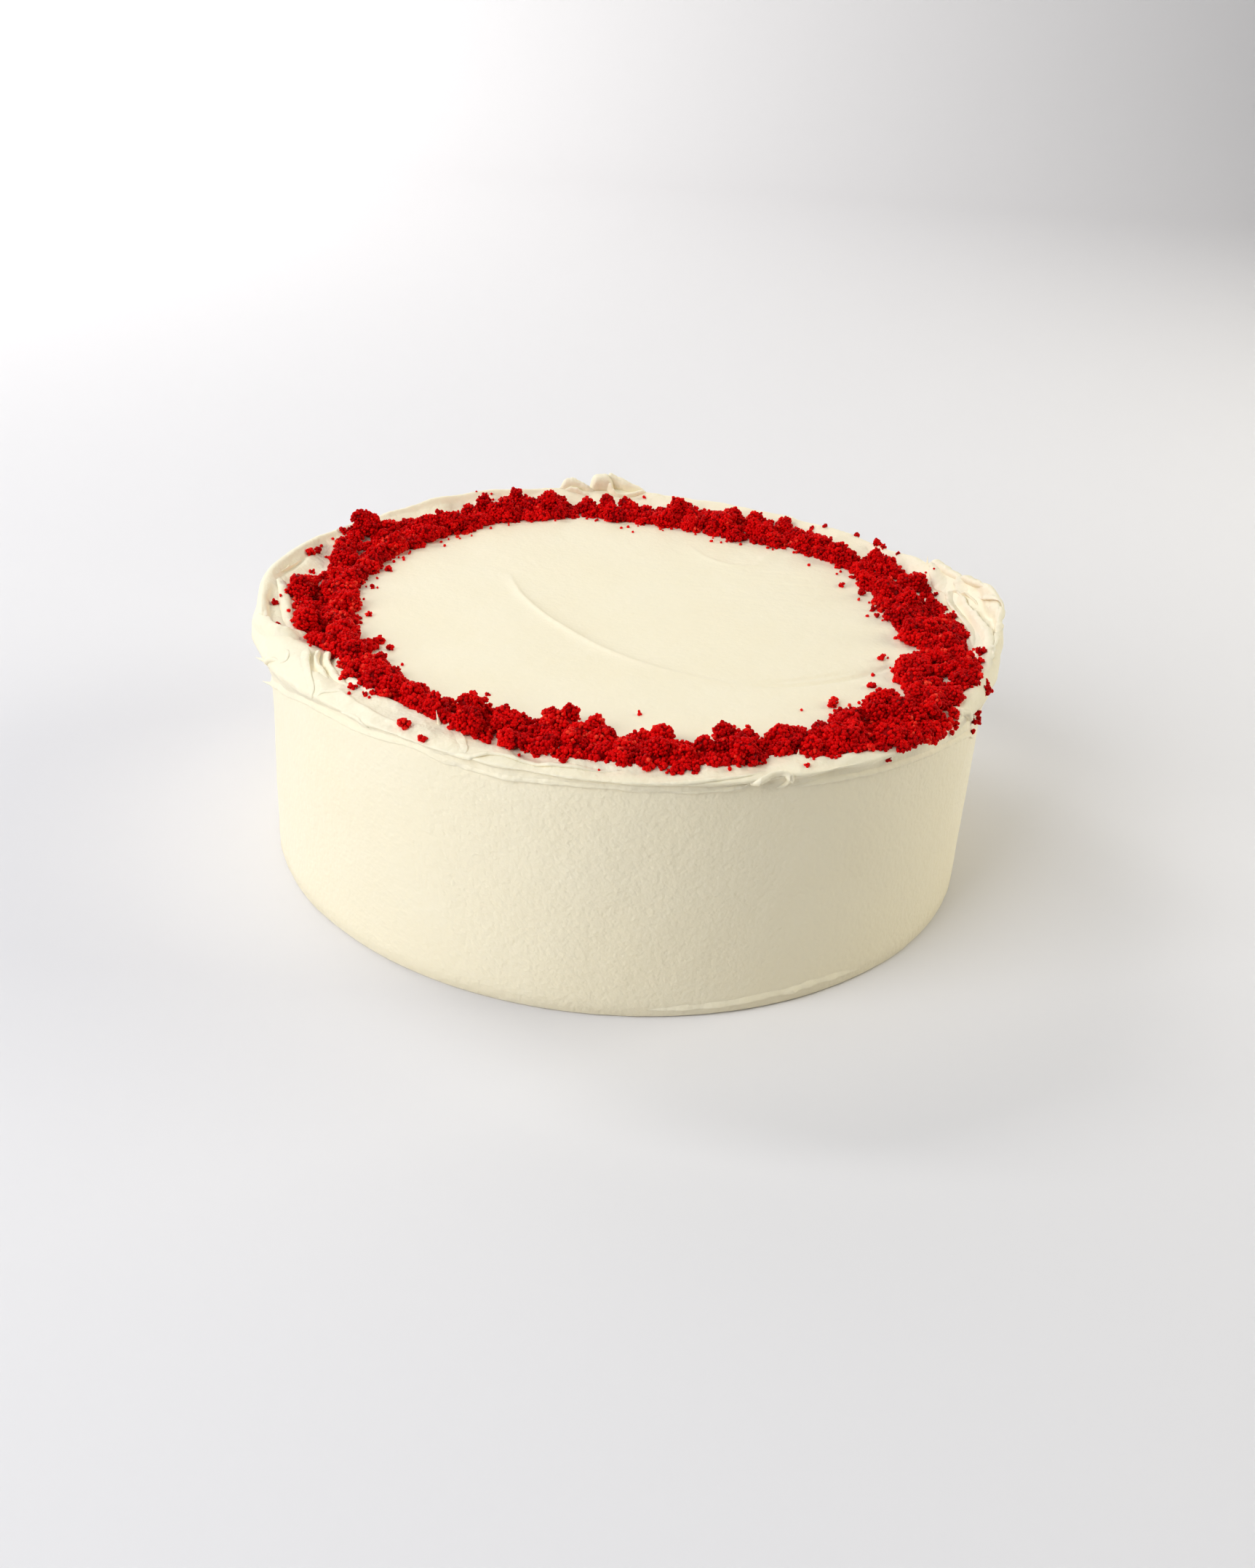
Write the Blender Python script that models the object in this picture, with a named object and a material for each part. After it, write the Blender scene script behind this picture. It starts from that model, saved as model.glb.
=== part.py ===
"""A round red velvet cake in cream-cheese frosting, with a ring of cake crumbs on its top.

The uncut cake is one solid. Its frosting is lofted: the section of the wall and rim differs
at every angle, because a spatula pushed the frosting up past the top edge and folded it over.
The crumbs that show from a step away are lumps, largest first, fused to the heap they lie in.
Metres, +Z up, origin on the flat underside at the cake's axis. Angles are in degrees,
counted from +X towards +Y, so the front of the cake is at 270.
"""
import math
import random

import bmesh
import bpy
import numpy as np
from mathutils import Matrix, Vector

MM = 0.001

# Driving dimensions, in millimetres.
CAKE_RADIUS = 113.0
TOP_HEIGHT = 75.5           # the smooth top inside the crumb ring
RIM_FOOT_HEIGHT = 74.5      # where the wall ends and the rim's overhang begins
RIM_SWELL = 1.2             # how far the rim stands out past the wall
RIM_CREST_HEIGHT = 77.6
RIM_CREST_RADIUS = 110.5
RIM_DEPTH = 8.5             # from the crest inwards to where the rim meets the top
RIM_RUN_IN = 4.5            # how far down the wall, and in on the top, the rim's section begins
CRUMB_INNER_RADIUS = 87.5
CRUMB_OUTER_RADIUS = 105.0
CRUMB_BED_HEIGHT = 2.6      # the heap under the lumps

# Points of the rim's section between those sizes, as (share of the way along, share of the way up).
HOLLOW = (0.4, 0.32)        # from the wall out to the swell, and from the foot up to the crest
SWELL_PLACE = 0.66          # how far up from the foot to the crest the rim stands out furthest
SHOULDER = (0.4, 0.94)      # from the swell in to the crest, and from the foot up to the crest
LANDING = (0.5, 0.45)       # from the crest in to the top, and from the top up to the crest

# Where the hand-made form departs from those sizes: (angle, spread, change in mm).
FOOT_CHANGES = ((190, 24, -16.0), (0, 30, -13.0), (90, 50, -8.0))
SWELL_CHANGES = ((188, 26, 3.6), (7, 16, 4.6), (90, 40, 0.8))
CREST_CHANGES = (
    (270, 38, -1.2), (8, 12, 6.8), (27, 6, 1.8), (185, 24, 2.2), (118, 20, 1.0), (97, 12, 1.0),
)
CREST_RADIUS_CHANGES = ((185, 26, 4.4), (7, 16, 6.6), (270, 40, -2.0), (209, 7, -6.0), (95, 12, 1.5))
INNER_CHANGES = (
    (1, 4, 2.0), (12, 10, -5.5), (40, 8, 3.0), (70, 16, -6.5), (96, 5, -2.0), (103, 5, 3.5),
    (122, 5, 3.0), (206, 7, 2.0), (227, 4, 3.0), (235.5, 4, 9.0), (257, 8, -2.5), (261, 4, -1.0),
    (269, 3, 5.0), (282, 5, 9.5), (294, 3, 5.0), (303, 7, 6.0), (326, 7, 10.0), (338, 5, -2.0),
    (350, 5, 6.0), (357, 4, -5.0),
)
OUTER_CHANGES = (
    (2, 5, 1.5), (20, 6, 1.5), (43, 6, -7.5), (61, 5, 2.5), (72, 6, -3.5), (93, 8, -8.0), (104, 6, -1.5),
    (114, 6, 2.0), (132, 5, -6.5), (142, 6, -2.0), (153, 8, 6.0), (171, 5, -4.0), (181, 7, 3.0),
    (212, 7, -6.5), (233, 5, -6.0), (243, 5, -1.5), (277, 14, 4.0), (292, 3, -2.0), (303, 5, 2.5),
    (316, 13, 7.5), (328, 6, 2.0), (340, 8, 5.0),
)
BED_CHANGES = ((318, 16, 1.4), (150, 14, 1.0), (255, 12, 0.6), (225, 9, -0.8), (82, 20, -0.5), (295, 8, -0.7))

# The spatula's strokes over the rim: (start angle, end angle, place across the rim at the
# start, place at the end, width as a share of the rim, height in mm). Across the rim, 0 is its
# foot on the wall, 0.6 its crest and 1 the line where it meets the top. A negative height is a groove.
RIM_STROKES = (
    (148, 188, 0.56, 0.46, 0.10, 0.9),
    (163, 202, 0.68, 0.60, 0.05, -1.8),
    (166, 199, 0.80, 0.70, 0.08, 1.2),
    (186, 232, 0.34, 0.26, 0.09, 0.8),
    (26, -24, 0.52, 0.32, 0.10, 0.8),
    (10, -18, 0.66, 0.56, 0.05, -1.8),
    (24, -12, 0.82, 0.72, 0.08, 1.1),
    (35, 20, 0.62, 0.60, 0.08, 1.2),
    (108, 146, 0.60, 0.56, 0.06, 1.0),
    (-32, -66, 0.34, 0.26, 0.08, 0.8),
)
# Folds that cross the rim where the frosting was pushed in over the crumbs: (angle, width in
# degrees, height in mm), and how they lie across the rim.
RIM_FOLDS = ((202.5, 2.6, 2.0), (208.5, 1.6, 1.7), (212.5, 1.5, 1.4), (216.5, 1.6, 1.1))
FOLD_PLACE = 0.62
FOLD_REACH = 0.20

# Rolled tongues of frosting that stand on the rim at the back: (angle at one end, angle at the
# other, height, thickness in mm).
CURLS = ((100.5, 90.0, 5.0, 3.0), (105.5, 99.5, 3.2, 2.0))
CURL_RADIUS = 112.5

# Torn peaks that point outwards at the left: (angle, distance from the axis, height, length,
# thickness in mm).
PEAKS = ((198.0, 115.5, 69.0, 4.5, 1.6), (203.5, 114.0, 63.0, 4.5, 1.5))

# The swirl the spatula left on the top: a spiral ridge about its own centre.
SWIRL_CENTRE = (26.0, 28.0)
SWIRL_START = 190.0         # angle about the swirl's centre at which its radius is SWIRL_RADIUS
SWIRL_RADIUS = 64.0
SWIRL_GROWTH = 0.125        # how much the radius grows with each degree
SWIRL_MIDDLE = 225.0        # angle about the swirl's centre at which the ridge is strongest
SWIRL_SPREAD = 52.0
SWIRL_HEIGHT = 0.9
SWIRL_WIDTH = 3.0

# Crumb lumps: (how many, smallest and largest radius in mm), laid largest first.
LUMPS = ((46, 3.4, 4.3), (46, 2.6, 3.3), (31, 1.9, 2.5))
LUMP_TRIES = 24             # places drawn for each lump, of which the emptiest is kept
LOOSE_CRUMBS = 10
LOOSE_RADIUS = 1.5
LUMP_ROUGHNESS = 0.25       # how far a lump's corners leave its sphere
LUMP_SPREAD = (1.45, 1.45, 0.8)  # a lump lies wider than it is tall
LUMP_SUNK = 0.12            # how high a lump's middle stands over the bed, as a share of its radius
LUMP_SEED = 7

COLUMNS = 300               # sections round the cake before thinning
RIM_ROWS = 26
INNER_SIDE = 0.45           # where across the rim its side towards the top begins
WALL_ROWS = 5
TOP_ROWS = 22
BODY_FACES = 4000           # triangles kept for the frosting

CREAM = (0.93, 0.87, 0.70)  # linear colour of the frosting
RED = (0.50, 0.008, 0.010)  # linear colour of the crumbs


def bump(angle, centre, spread):
    """1 at the centre angle, and smoothly down to 0 about two spreads away."""
    away = (angle - centre + 180.0) % 360.0 - 180.0
    return np.exp(-((away / spread) ** 2))


def varied(base, changes, angle):
    """A size that is base all round, apart from its local changes."""
    size = base + 0.0 * angle
    for centre, spread, amount in changes:
        size = size + amount * bump(angle, centre, spread)
    return size


def rim_sizes(angle):
    """Foot, crest and inner points of the rim's section at each angle, in mm."""
    foot = varied(RIM_FOOT_HEIGHT, FOOT_CHANGES, angle)
    outer = CAKE_RADIUS + varied(RIM_SWELL, SWELL_CHANGES, angle)
    crest = varied(RIM_CREST_HEIGHT, CREST_CHANGES, angle)
    crest_radius = varied(RIM_CREST_RADIUS, CREST_RADIUS_CHANGES, angle)
    return foot, outer, crest, crest_radius, crest_radius - RIM_DEPTH


def rim_section(angle, across):
    """Radius and height on a smooth curve through the rim's points, for each place across it."""
    foot, outer, crest, crest_radius, inner = rim_sizes(angle)
    rise = crest - foot
    wall = CAKE_RADIUS + 0.0 * angle
    top = TOP_HEIGHT + 0.0 * angle
    hollow = wall + HOLLOW[0] * (outer - wall)
    shoulder = outer + SHOULDER[0] * (crest_radius - outer)
    landing = crest_radius + LANDING[0] * (inner - crest_radius)
    points_r = (wall, wall, wall, hollow, outer, shoulder, crest_radius, landing, inner,
                inner - RIM_RUN_IN, inner - 2.0 * RIM_RUN_IN)
    points_z = (foot - 2.0 * RIM_RUN_IN, foot - RIM_RUN_IN, foot, foot + HOLLOW[1] * rise,
                foot + SWELL_PLACE * rise, foot + SHOULDER[1] * rise, crest,
                top + LANDING[1] * (crest - top), top, top, top)
    return spline(np.array(points_r), across), spline(np.array(points_z), across)


def spline(points, across):
    """Catmull-Rom curve through rows 1 to -2 of points, read at each place from 0 to 1."""
    spans = len(points) - 3
    at = np.clip(across * spans, 0.0, spans - 1e-6)
    first = at.astype(int)
    t = (at - first)[:, None]
    p0, p1, p2, p3 = (points[first + k] for k in range(4))
    return 0.5 * (2 * p1 + (p2 - p0) * t + (2 * p0 - 5 * p1 + 4 * p2 - p3) * t**2
                  + (3 * p1 - p0 - 3 * p2 + p3) * t**3)


def stroke_relief(angle, across):
    """Height in mm that the spatula's strokes and folds add to the rim, for a grid of places."""
    relief = np.zeros(np.broadcast(angle, across).shape)
    for start, end, place_start, place_end, width, height in RIM_STROKES:
        along = ((angle - start) * np.sign(end - start)) % 360.0 / abs(end - start)
        place = place_start + (place_end - place_start) * np.clip(along, 0, 1)
        fade = np.where(along < 1.0, np.sin(math.pi * np.clip(along, 0, 1)) ** 0.6, 0.0)
        relief += height * fade * np.exp(-(((across - place) / width) ** 2))
    for centre, width, height in RIM_FOLDS:
        reach = np.exp(-(((across - FOLD_PLACE) / FOLD_REACH) ** 2))
        relief += height * bump(angle, centre, width) * reach
    return relief


def swirl_relief(x, y):
    """Height in mm of the swirl's ridge at points of the top."""
    from_x = x - SWIRL_CENTRE[0]
    from_y = y - SWIRL_CENTRE[1]
    turn = np.degrees(np.arctan2(from_y, from_x)) % 360.0
    distance = np.hypot(from_x, from_y) - SWIRL_RADIUS - SWIRL_GROWTH * (turn - SWIRL_START)
    return SWIRL_HEIGHT * bump(turn, SWIRL_MIDDLE, SWIRL_SPREAD) * np.exp(-((distance / SWIRL_WIDTH) ** 2))


def crumb_ring(angle):
    """Inner and outer radius of the crumb ring and its bed's height at each angle, in mm."""
    inner = varied(CRUMB_INNER_RADIUS, INNER_CHANGES, angle)
    outer = varied(CRUMB_OUTER_RADIUS, OUTER_CHANGES, angle)
    return inner, outer, varied(CRUMB_BED_HEIGHT, BED_CHANGES, angle)


def bed_relief(angle, radius):
    """Height in mm of the crumb bed over the frosting: a low arch between the ring's two edges."""
    inner, outer, height = crumb_ring(angle)
    place = np.clip((radius - inner) / (outer - inner), 0.0, 1.0)
    return height * np.sqrt(np.sin(math.pi * place))


def frosting_points():
    """Rows of points from the wall's foot over the rim to near the top's centre, in mm: an array
    of (row, column, xyz). The rim rows stand out along the section's own normal by its relief."""
    angle = np.arange(COLUMNS) * 360.0 / COLUMNS
    across = np.linspace(0.0, 1.0, RIM_ROWS)
    radius, height = rim_section(angle, across)
    run = np.gradient(radius, axis=0)
    rise = np.gradient(height, axis=0)
    length = np.hypot(run, rise)
    relief = stroke_relief(angle[None, :], across[:, None])
    radius = radius + relief * rise / length
    height = height - relief * run / length

    share = np.linspace(0.0, 1.0, WALL_ROWS, endpoint=False)[:, None]
    wall_radius = CAKE_RADIUS + 0.0 * share * angle
    wall_height = share * height[0]
    inward = np.linspace(1.0, 0.0, TOP_ROWS + 2)[1:-1, None]
    top_radius = inward * radius[-1]
    top_height = TOP_HEIGHT + 0.0 * top_radius
    radius = np.concatenate((wall_radius, radius, top_radius))
    height = np.concatenate((wall_height, height, top_height))
    x = radius * np.cos(np.radians(angle))
    y = radius * np.sin(np.radians(angle))
    on_top = np.arange(len(radius))[:, None] >= WALL_ROWS + RIM_ROWS // 2
    height = height + on_top * (swirl_relief(x, y) + bed_relief(angle, radius))
    return np.stack((x, y, height), axis=-1)


def loft(name, rows, bottom, top):
    """A closed body through rows of points, from a bottom pole to a top pole."""
    count, columns, _ = rows.shape
    points = [tuple(p * MM) for p in rows.reshape(-1, 3)]
    low = len(points)
    high = low + 1
    points += [tuple(np.array(bottom) * MM), tuple(np.array(top) * MM)]
    faces = []
    for c in range(columns):
        d = (c + 1) % columns
        faces.append((low, d, c))
        for r in range(count - 1):
            faces.append((r * columns + c, r * columns + d, (r + 1) * columns + d, (r + 1) * columns + c))
        faces.append((high, (count - 1) * columns + c, (count - 1) * columns + d))
    mesh = bpy.data.meshes.new(name)
    mesh.from_pydata(points, [], faces)
    mesh.validate()
    return bpy.data.objects.new(name, mesh)


def apply_modifiers(obj):
    """Keeps the object's evaluated mesh and drops its modifiers."""
    depsgraph = bpy.context.evaluated_depsgraph_get()
    mesh = bpy.data.meshes.new_from_object(obj.evaluated_get(depsgraph))
    old = obj.data
    obj.modifiers.clear()
    obj.data = mesh
    bpy.data.meshes.remove(old)


def thin_out(obj, faces):
    """Leaves about that many triangles, most of them where the frosting is folded."""
    triangles = sum(len(p.vertices) - 2 for p in obj.data.polygons)
    decimate = obj.modifiers.new("thin out", "DECIMATE")
    decimate.ratio = faces / triangles
    decimate.use_collapse_triangulate = True
    apply_modifiers(obj)


def flatten_underside(obj):
    """Puts the points that lie within a hair of the underside exactly on it."""
    for vertex in obj.data.vertices:
        if vertex.co.z < 0.2 * MM:
            vertex.co.z = 0.0


def surface_height(angle, radius):
    """Height in mm of the frosting and its crumb bed at one place on the top or the rim."""
    angles = np.array([angle])
    across = np.linspace(INNER_SIDE, 1.0, 40)
    section_radius, section_height = rim_section(angles, across)
    order = np.argsort(section_radius[:, 0])
    frosting = np.interp(radius, section_radius[order, 0], section_height[order, 0])
    return float(frosting + bed_relief(angles, radius)[0])


def new_lump(collection, name, place, size, rng):
    """A craggy crumb lump: a 20-sided ball with each corner pushed in or out."""
    ball = bmesh.new()
    bmesh.ops.create_icosphere(ball, subdivisions=1, radius=size * MM)
    axis = Vector((rng.random(), rng.random(), 0.5 + rng.random()))
    turn = Matrix.Rotation(rng.uniform(0.0, math.tau), 4, axis)
    for corner in ball.verts:
        corner.co *= 1.0 + rng.uniform(-LUMP_ROUGHNESS, LUMP_ROUGHNESS)
    wide = Matrix.Diagonal((*LUMP_SPREAD, 1.0))
    bmesh.ops.transform(ball, matrix=Matrix.Translation(Vector(place) * MM) @ wide @ turn, verts=ball.verts)
    mesh = bpy.data.meshes.new(name)
    ball.to_mesh(mesh)
    ball.free()
    collection.objects.link(bpy.data.objects.new(name, mesh))


def at(angle, radius, height):
    """A point in mm from its angle in degrees, distance from the axis and height."""
    turn = math.radians(angle)
    return (radius * math.cos(turn), radius * math.sin(turn), height)


def lump_places():
    """Angle, radius and size of each lump, largest first. Each goes where the ring is emptiest
    among a few places drawn at random, so that the lumps cover the ring evenly."""
    rng = random.Random(LUMP_SEED)
    places = []
    for count, smallest, largest in LUMPS:
        for _ in range(count):
            size = rng.uniform(smallest, largest)
            drawn = []
            for _ in range(LUMP_TRIES):
                angle = rng.uniform(0.0, 360.0)
                inner, outer, _ = (float(v) for v in crumb_ring(angle))
                radius = rng.uniform(inner + 0.6 * size, outer - 0.6 * size)
                here = Vector(at(angle, radius, 0.0))
                room = min((((here - there).length - other) for there, other, _, _ in places), default=1.0)
                drawn.append((room, here, angle, radius))
            _, here, angle, radius = max(drawn, key=lambda place: place[0])
            places.append((here, size, angle, radius))
    return places


def add_lumps(collection):
    """A lump at each of the ring's lump places, sunk almost halfway into the crumb bed."""
    rng = random.Random(LUMP_SEED + 2)
    for index, (_, size, angle, radius) in enumerate(lump_places()):
        height = surface_height(angle, radius) + LUMP_SUNK * size
        new_lump(collection, f"lump_{index}", at(angle, radius, height), size, rng)


def add_loose_crumbs(collection):
    """A few single crumbs that fell just outside or inside the ring, half sunk in the frosting."""
    rng = random.Random(LUMP_SEED + 1)
    for index in range(LOOSE_CRUMBS):
        angle = 360.0 * (index * 0.618034 % 1.0)
        inner, outer, _ = (float(v) for v in crumb_ring(angle))
        outside = index % 3 == 0
        gap = rng.uniform(2.5, 6.0)
        radius = min(outer + gap, CAKE_RADIUS - 3.0) if outside else inner - gap
        size = LOOSE_RADIUS * rng.uniform(0.8, 1.1)
        height = surface_height(angle, radius) + 0.2 * size
        new_lump(collection, f"loose_{index}", at(angle, radius, height), size, rng)


def tube(collection, name, points, thickness):
    """A round-ended tube through points in mm, thickest in its middle, as a mesh."""
    curve = bpy.data.curves.new(name, "CURVE")
    curve.dimensions = "3D"
    curve.bevel_depth = MM
    curve.bevel_resolution = 1
    curve.use_fill_caps = True
    line = curve.splines.new("POLY")
    line.points.add(len(points) - 1)
    for index, (point, place) in enumerate(zip(line.points, points)):
        share = index / (len(points) - 1)
        point.co = (*(Vector(place) * MM), 1.0)
        point.radius = thickness * (0.3 + 0.7 * math.sin(math.pi * share))
    drawn = bpy.data.objects.new(name, curve)
    collection.objects.link(drawn)
    depsgraph = bpy.context.evaluated_depsgraph_get()
    mesh = bpy.data.meshes.new_from_object(drawn.evaluated_get(depsgraph))
    bpy.data.objects.remove(drawn)
    weld = bmesh.new()
    weld.from_mesh(mesh)
    bmesh.ops.remove_doubles(weld, verts=weld.verts, dist=0.01 * MM)
    bmesh.ops.recalc_face_normals(weld, faces=weld.faces)
    weld.to_mesh(mesh)
    weld.free()
    collection.objects.link(bpy.data.objects.new(name, mesh))


def add_curls(collection):
    """The tongues of frosting at the back, each an arch along the rim that leans outwards."""
    steps = 8
    for index, (start, end, height, thickness) in enumerate(CURLS):
        points = []
        for step in range(steps + 1):
            share = step / steps
            angle = start + (end - start) * share
            lift = height * math.sin(math.pi * share) ** 0.8 * (1.15 - 0.5 * share)
            radius = CURL_RADIUS + 1.2 * math.sin(math.pi * share)
            points.append(at(angle, radius, surface_height(angle, CURL_RADIUS - 2.0) - 1.2 + lift))
        tube(collection, f"curl_{index}", points, thickness)


def add_peaks(collection):
    """The torn points at the rim's left: short tapered spikes rooted in the frosting."""
    for index, (angle, radius, height, length, thickness) in enumerate(PEAKS):
        spike = bmesh.new()
        bmesh.ops.create_cone(spike, cap_ends=True, segments=6, radius1=thickness * MM,
                              radius2=0.25 * thickness * MM, depth=length * MM)
        outward = Vector(at(angle, 1.0, 0.25)).normalized()
        place = Matrix.Translation(Vector(at(angle, radius, height)) * MM)
        turn = outward.to_track_quat("Z", "Y").to_matrix().to_4x4()
        bmesh.ops.transform(spike, matrix=place @ turn, verts=spike.verts)
        mesh = bpy.data.meshes.new(f"peak_{index}")
        spike.to_mesh(mesh)
        spike.free()
        collection.objects.link(bpy.data.objects.new(f"peak_{index}", mesh))


def fuse(obj, collection):
    """Joins everything in the collection to the object in one union, then removes the collection."""
    union = obj.modifiers.new("fuse", "BOOLEAN")
    union.operation = "UNION"
    union.operand_type = "COLLECTION"
    union.collection = collection
    union.solver = "EXACT"
    apply_modifiers(obj)
    for loose in list(collection.objects):
        bpy.data.objects.remove(loose)
    bpy.data.collections.remove(collection)


def keep_outer_body(obj):
    """Triangulates, then drops every loose scrap and sealed hollow: all but the largest shell."""
    mesh = bmesh.new()
    mesh.from_mesh(obj.data)
    bmesh.ops.remove_doubles(mesh, verts=mesh.verts, dist=0.02 * MM)
    bmesh.ops.dissolve_degenerate(mesh, edges=mesh.edges, dist=0.02 * MM)
    bmesh.ops.triangulate(mesh, faces=mesh.faces)
    unseen = set(mesh.verts)
    shells = []
    while unseen:
        shell = set()
        edge_of_search = [unseen.pop()]
        while edge_of_search:
            vertex = edge_of_search.pop()
            shell.add(vertex)
            for edge in vertex.link_edges:
                other = edge.other_vert(vertex)
                if other in unseen:
                    unseen.remove(other)
                    edge_of_search.append(other)
        shells.append(shell)
    shells.sort(key=len)
    for shell in shells[:-1]:
        bmesh.ops.delete(mesh, geom=list(shell), context="VERTS")
    mesh.to_mesh(obj.data)
    mesh.free()


def material(name, colour, roughness):
    """A plain surface of one colour and roughness."""
    made = bpy.data.materials.new(name)
    made.use_nodes = True
    surface = made.node_tree.nodes["Principled BSDF"]
    surface.inputs["Base Color"].default_value = (*colour, 1.0)
    surface.inputs["Roughness"].default_value = roughness
    surface.inputs["Metallic"].default_value = 0.0
    made.diffuse_color = (*colour, 1.0)
    return made


def colour_by_place(obj):
    """Crumb red on the faces that rise above the frosting inside the ring, cream on the rest."""
    obj.data.materials.clear()
    obj.data.materials.append(material("cream_cheese_frosting", CREAM, 0.5))
    obj.data.materials.append(material("red_velvet_crumbs", RED, 0.6))
    for face in obj.data.polygons:
        x, y, z = (value / MM for value in face.center)
        inner, outer, _ = (float(v) for v in crumb_ring(math.degrees(math.atan2(y, x))))
        in_ring = inner - 1.0 < math.hypot(x, y) < outer + 1.0
        face.material_index = int(in_ring and z > TOP_HEIGHT + 1.0)


def build_cake():
    """The whole cake as one object in the collection named for it."""
    cake_collection = bpy.data.collections.new("red_velvet_cake")
    bpy.context.scene.collection.children.link(cake_collection)
    toppings = bpy.data.collections.new("toppings")
    bpy.context.scene.collection.children.link(toppings)

    cake = loft("frosted_cake", frosting_points(), (0.0, 0.0, 0.0), (0.0, 0.0, TOP_HEIGHT))
    cake_collection.objects.link(cake)
    thin_out(cake, BODY_FACES)
    flatten_underside(cake)
    add_lumps(toppings)
    add_loose_crumbs(toppings)
    add_curls(toppings)
    add_peaks(toppings)
    fuse(cake, toppings)
    keep_outer_body(cake)
    colour_by_place(cake)
    cake.data.shade_smooth()
    cake.data.set_sharp_from_angle(angle=math.radians(35.0))


for old in list(bpy.data.objects):
    bpy.data.objects.remove(old)
build_cake()
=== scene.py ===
import math
import random

import bpy
import numpy as np
from mathutils import Matrix, Vector


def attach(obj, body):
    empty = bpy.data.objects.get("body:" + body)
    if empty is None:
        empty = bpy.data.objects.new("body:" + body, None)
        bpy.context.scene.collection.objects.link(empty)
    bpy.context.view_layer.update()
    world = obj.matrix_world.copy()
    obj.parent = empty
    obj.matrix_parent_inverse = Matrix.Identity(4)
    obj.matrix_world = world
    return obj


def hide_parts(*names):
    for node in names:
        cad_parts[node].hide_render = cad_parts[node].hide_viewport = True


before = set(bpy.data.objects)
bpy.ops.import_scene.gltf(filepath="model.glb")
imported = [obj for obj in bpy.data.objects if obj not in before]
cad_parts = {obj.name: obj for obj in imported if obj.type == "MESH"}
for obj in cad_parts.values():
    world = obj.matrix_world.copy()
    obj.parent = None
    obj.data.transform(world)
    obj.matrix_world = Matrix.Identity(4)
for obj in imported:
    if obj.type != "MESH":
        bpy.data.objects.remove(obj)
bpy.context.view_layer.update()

# The view. The cake is seen from the front and 30 degrees above, a little above its own top.
# The camera's place and angles come from a fit to the outline of the cake's foot and sides.
FRAME_HEIGHT = 2156                     # pixels of the portrait frame
FOCAL_LENGTH = 2242                     # in the same pixels
SENSOR_SIDE = 36.0
EYE = Vector((0.0, -0.48376, 0.27596))
PAN, TILT, ROLL = 0.00447, 0.02096, 0.06756

lens = bpy.data.cameras.new("view")
lens.sensor_width = SENSOR_SIDE
lens.lens = SENSOR_SIDE * FOCAL_LENGTH / FRAME_HEIGHT
lens.clip_start = 0.01
camera = bpy.data.objects.new("view", lens)
aim = (-EYE).to_track_quat("-Z", "Y").to_matrix().to_4x4()
turn = Matrix.Rotation(-PAN, 4, "Y") @ Matrix.Rotation(TILT, 4, "X") @ Matrix.Rotation(ROLL, 4, "Z")
camera.matrix_world = Matrix.Translation(EYE) @ aim @ turn
bpy.context.scene.collection.objects.link(camera)
bpy.context.scene.camera = camera


# The frosting's side and rim. A turntable and a straight spatula leave the cream cheese frosting's
# wall smooth and upright. The spare frosting is pushed up past the top edge, where the spatula's
# next strokes lay it over the rim in folds, lips and torn edges. Lengths here are in millimetres,
# and angles are in degrees from +X towards +Y, so the front of the cake is at 270.
MM = 0.001
CAKE_RADIUS = 113.0
TOP_HEIGHT = 75.5
RIM_FOOT_HEIGHT = 74.5                  # where the wall ends and the rim's overhang begins
RIM_SWELL = 1.2                         # how far the rim stands out past the wall
RIM_CREST_HEIGHT = 77.6
RIM_CREST_RADIUS = 110.5
RIM_DEPTH = 8.5                         # from the crest in to where the rim meets the top
RIM_RUN_IN = 4.5                        # how far down the wall, and in on the top, its section begins
HOLLOW = (0.4, 0.32)                    # share of the way out to the swell and up to the crest
SWELL_PLACE = 0.66                      # share of the way up to the crest
SHOULDER = (0.4, 0.94)                  # share of the way in from the swell and up to the crest
LANDING = (0.5, 0.45)                   # share of the way in to the top and up to the crest

# Where the hand-made rim departs from those sizes: (angle, spread, change).
FOOT_CHANGES = ((190, 24, -16.0), (0, 30, -13.0), (90, 50, -8.0))
SWELL_CHANGES = ((188, 26, 3.6), (7, 16, 4.6), (90, 40, 0.8))
CREST_CHANGES = (
    (270, 38, -1.2), (8, 12, 6.8), (27, 6, 1.8), (185, 24, 2.2), (118, 20, 1.0), (97, 12, 1.0),
)
CREST_RADIUS_CHANGES = ((185, 26, 4.4), (7, 16, 6.6), (270, 40, -2.0), (209, 7, -6.0), (95, 12, 1.5))

# Broad strokes of the spatula: (start angle, end angle, place across the rim at the start and at
# the end, width as a share of the rim, height). Place 0 is the rim's foot and 1 its inner end.
BROAD_STROKES = (
    (148, 188, 0.56, 0.46, 0.10, 0.9),
    (186, 232, 0.34, 0.26, 0.09, 0.8),
    (26, -24, 0.52, 0.32, 0.10, 0.8),
    (13, 0, 0.57, 0.55, 0.09, 1.3),
    (108, 146, 0.60, 0.56, 0.06, 1.0),
    (-32, -66, 0.34, 0.26, 0.08, 0.8),
    (216, 250, 0.84, 0.84, 0.14, 2.2),
)

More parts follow.
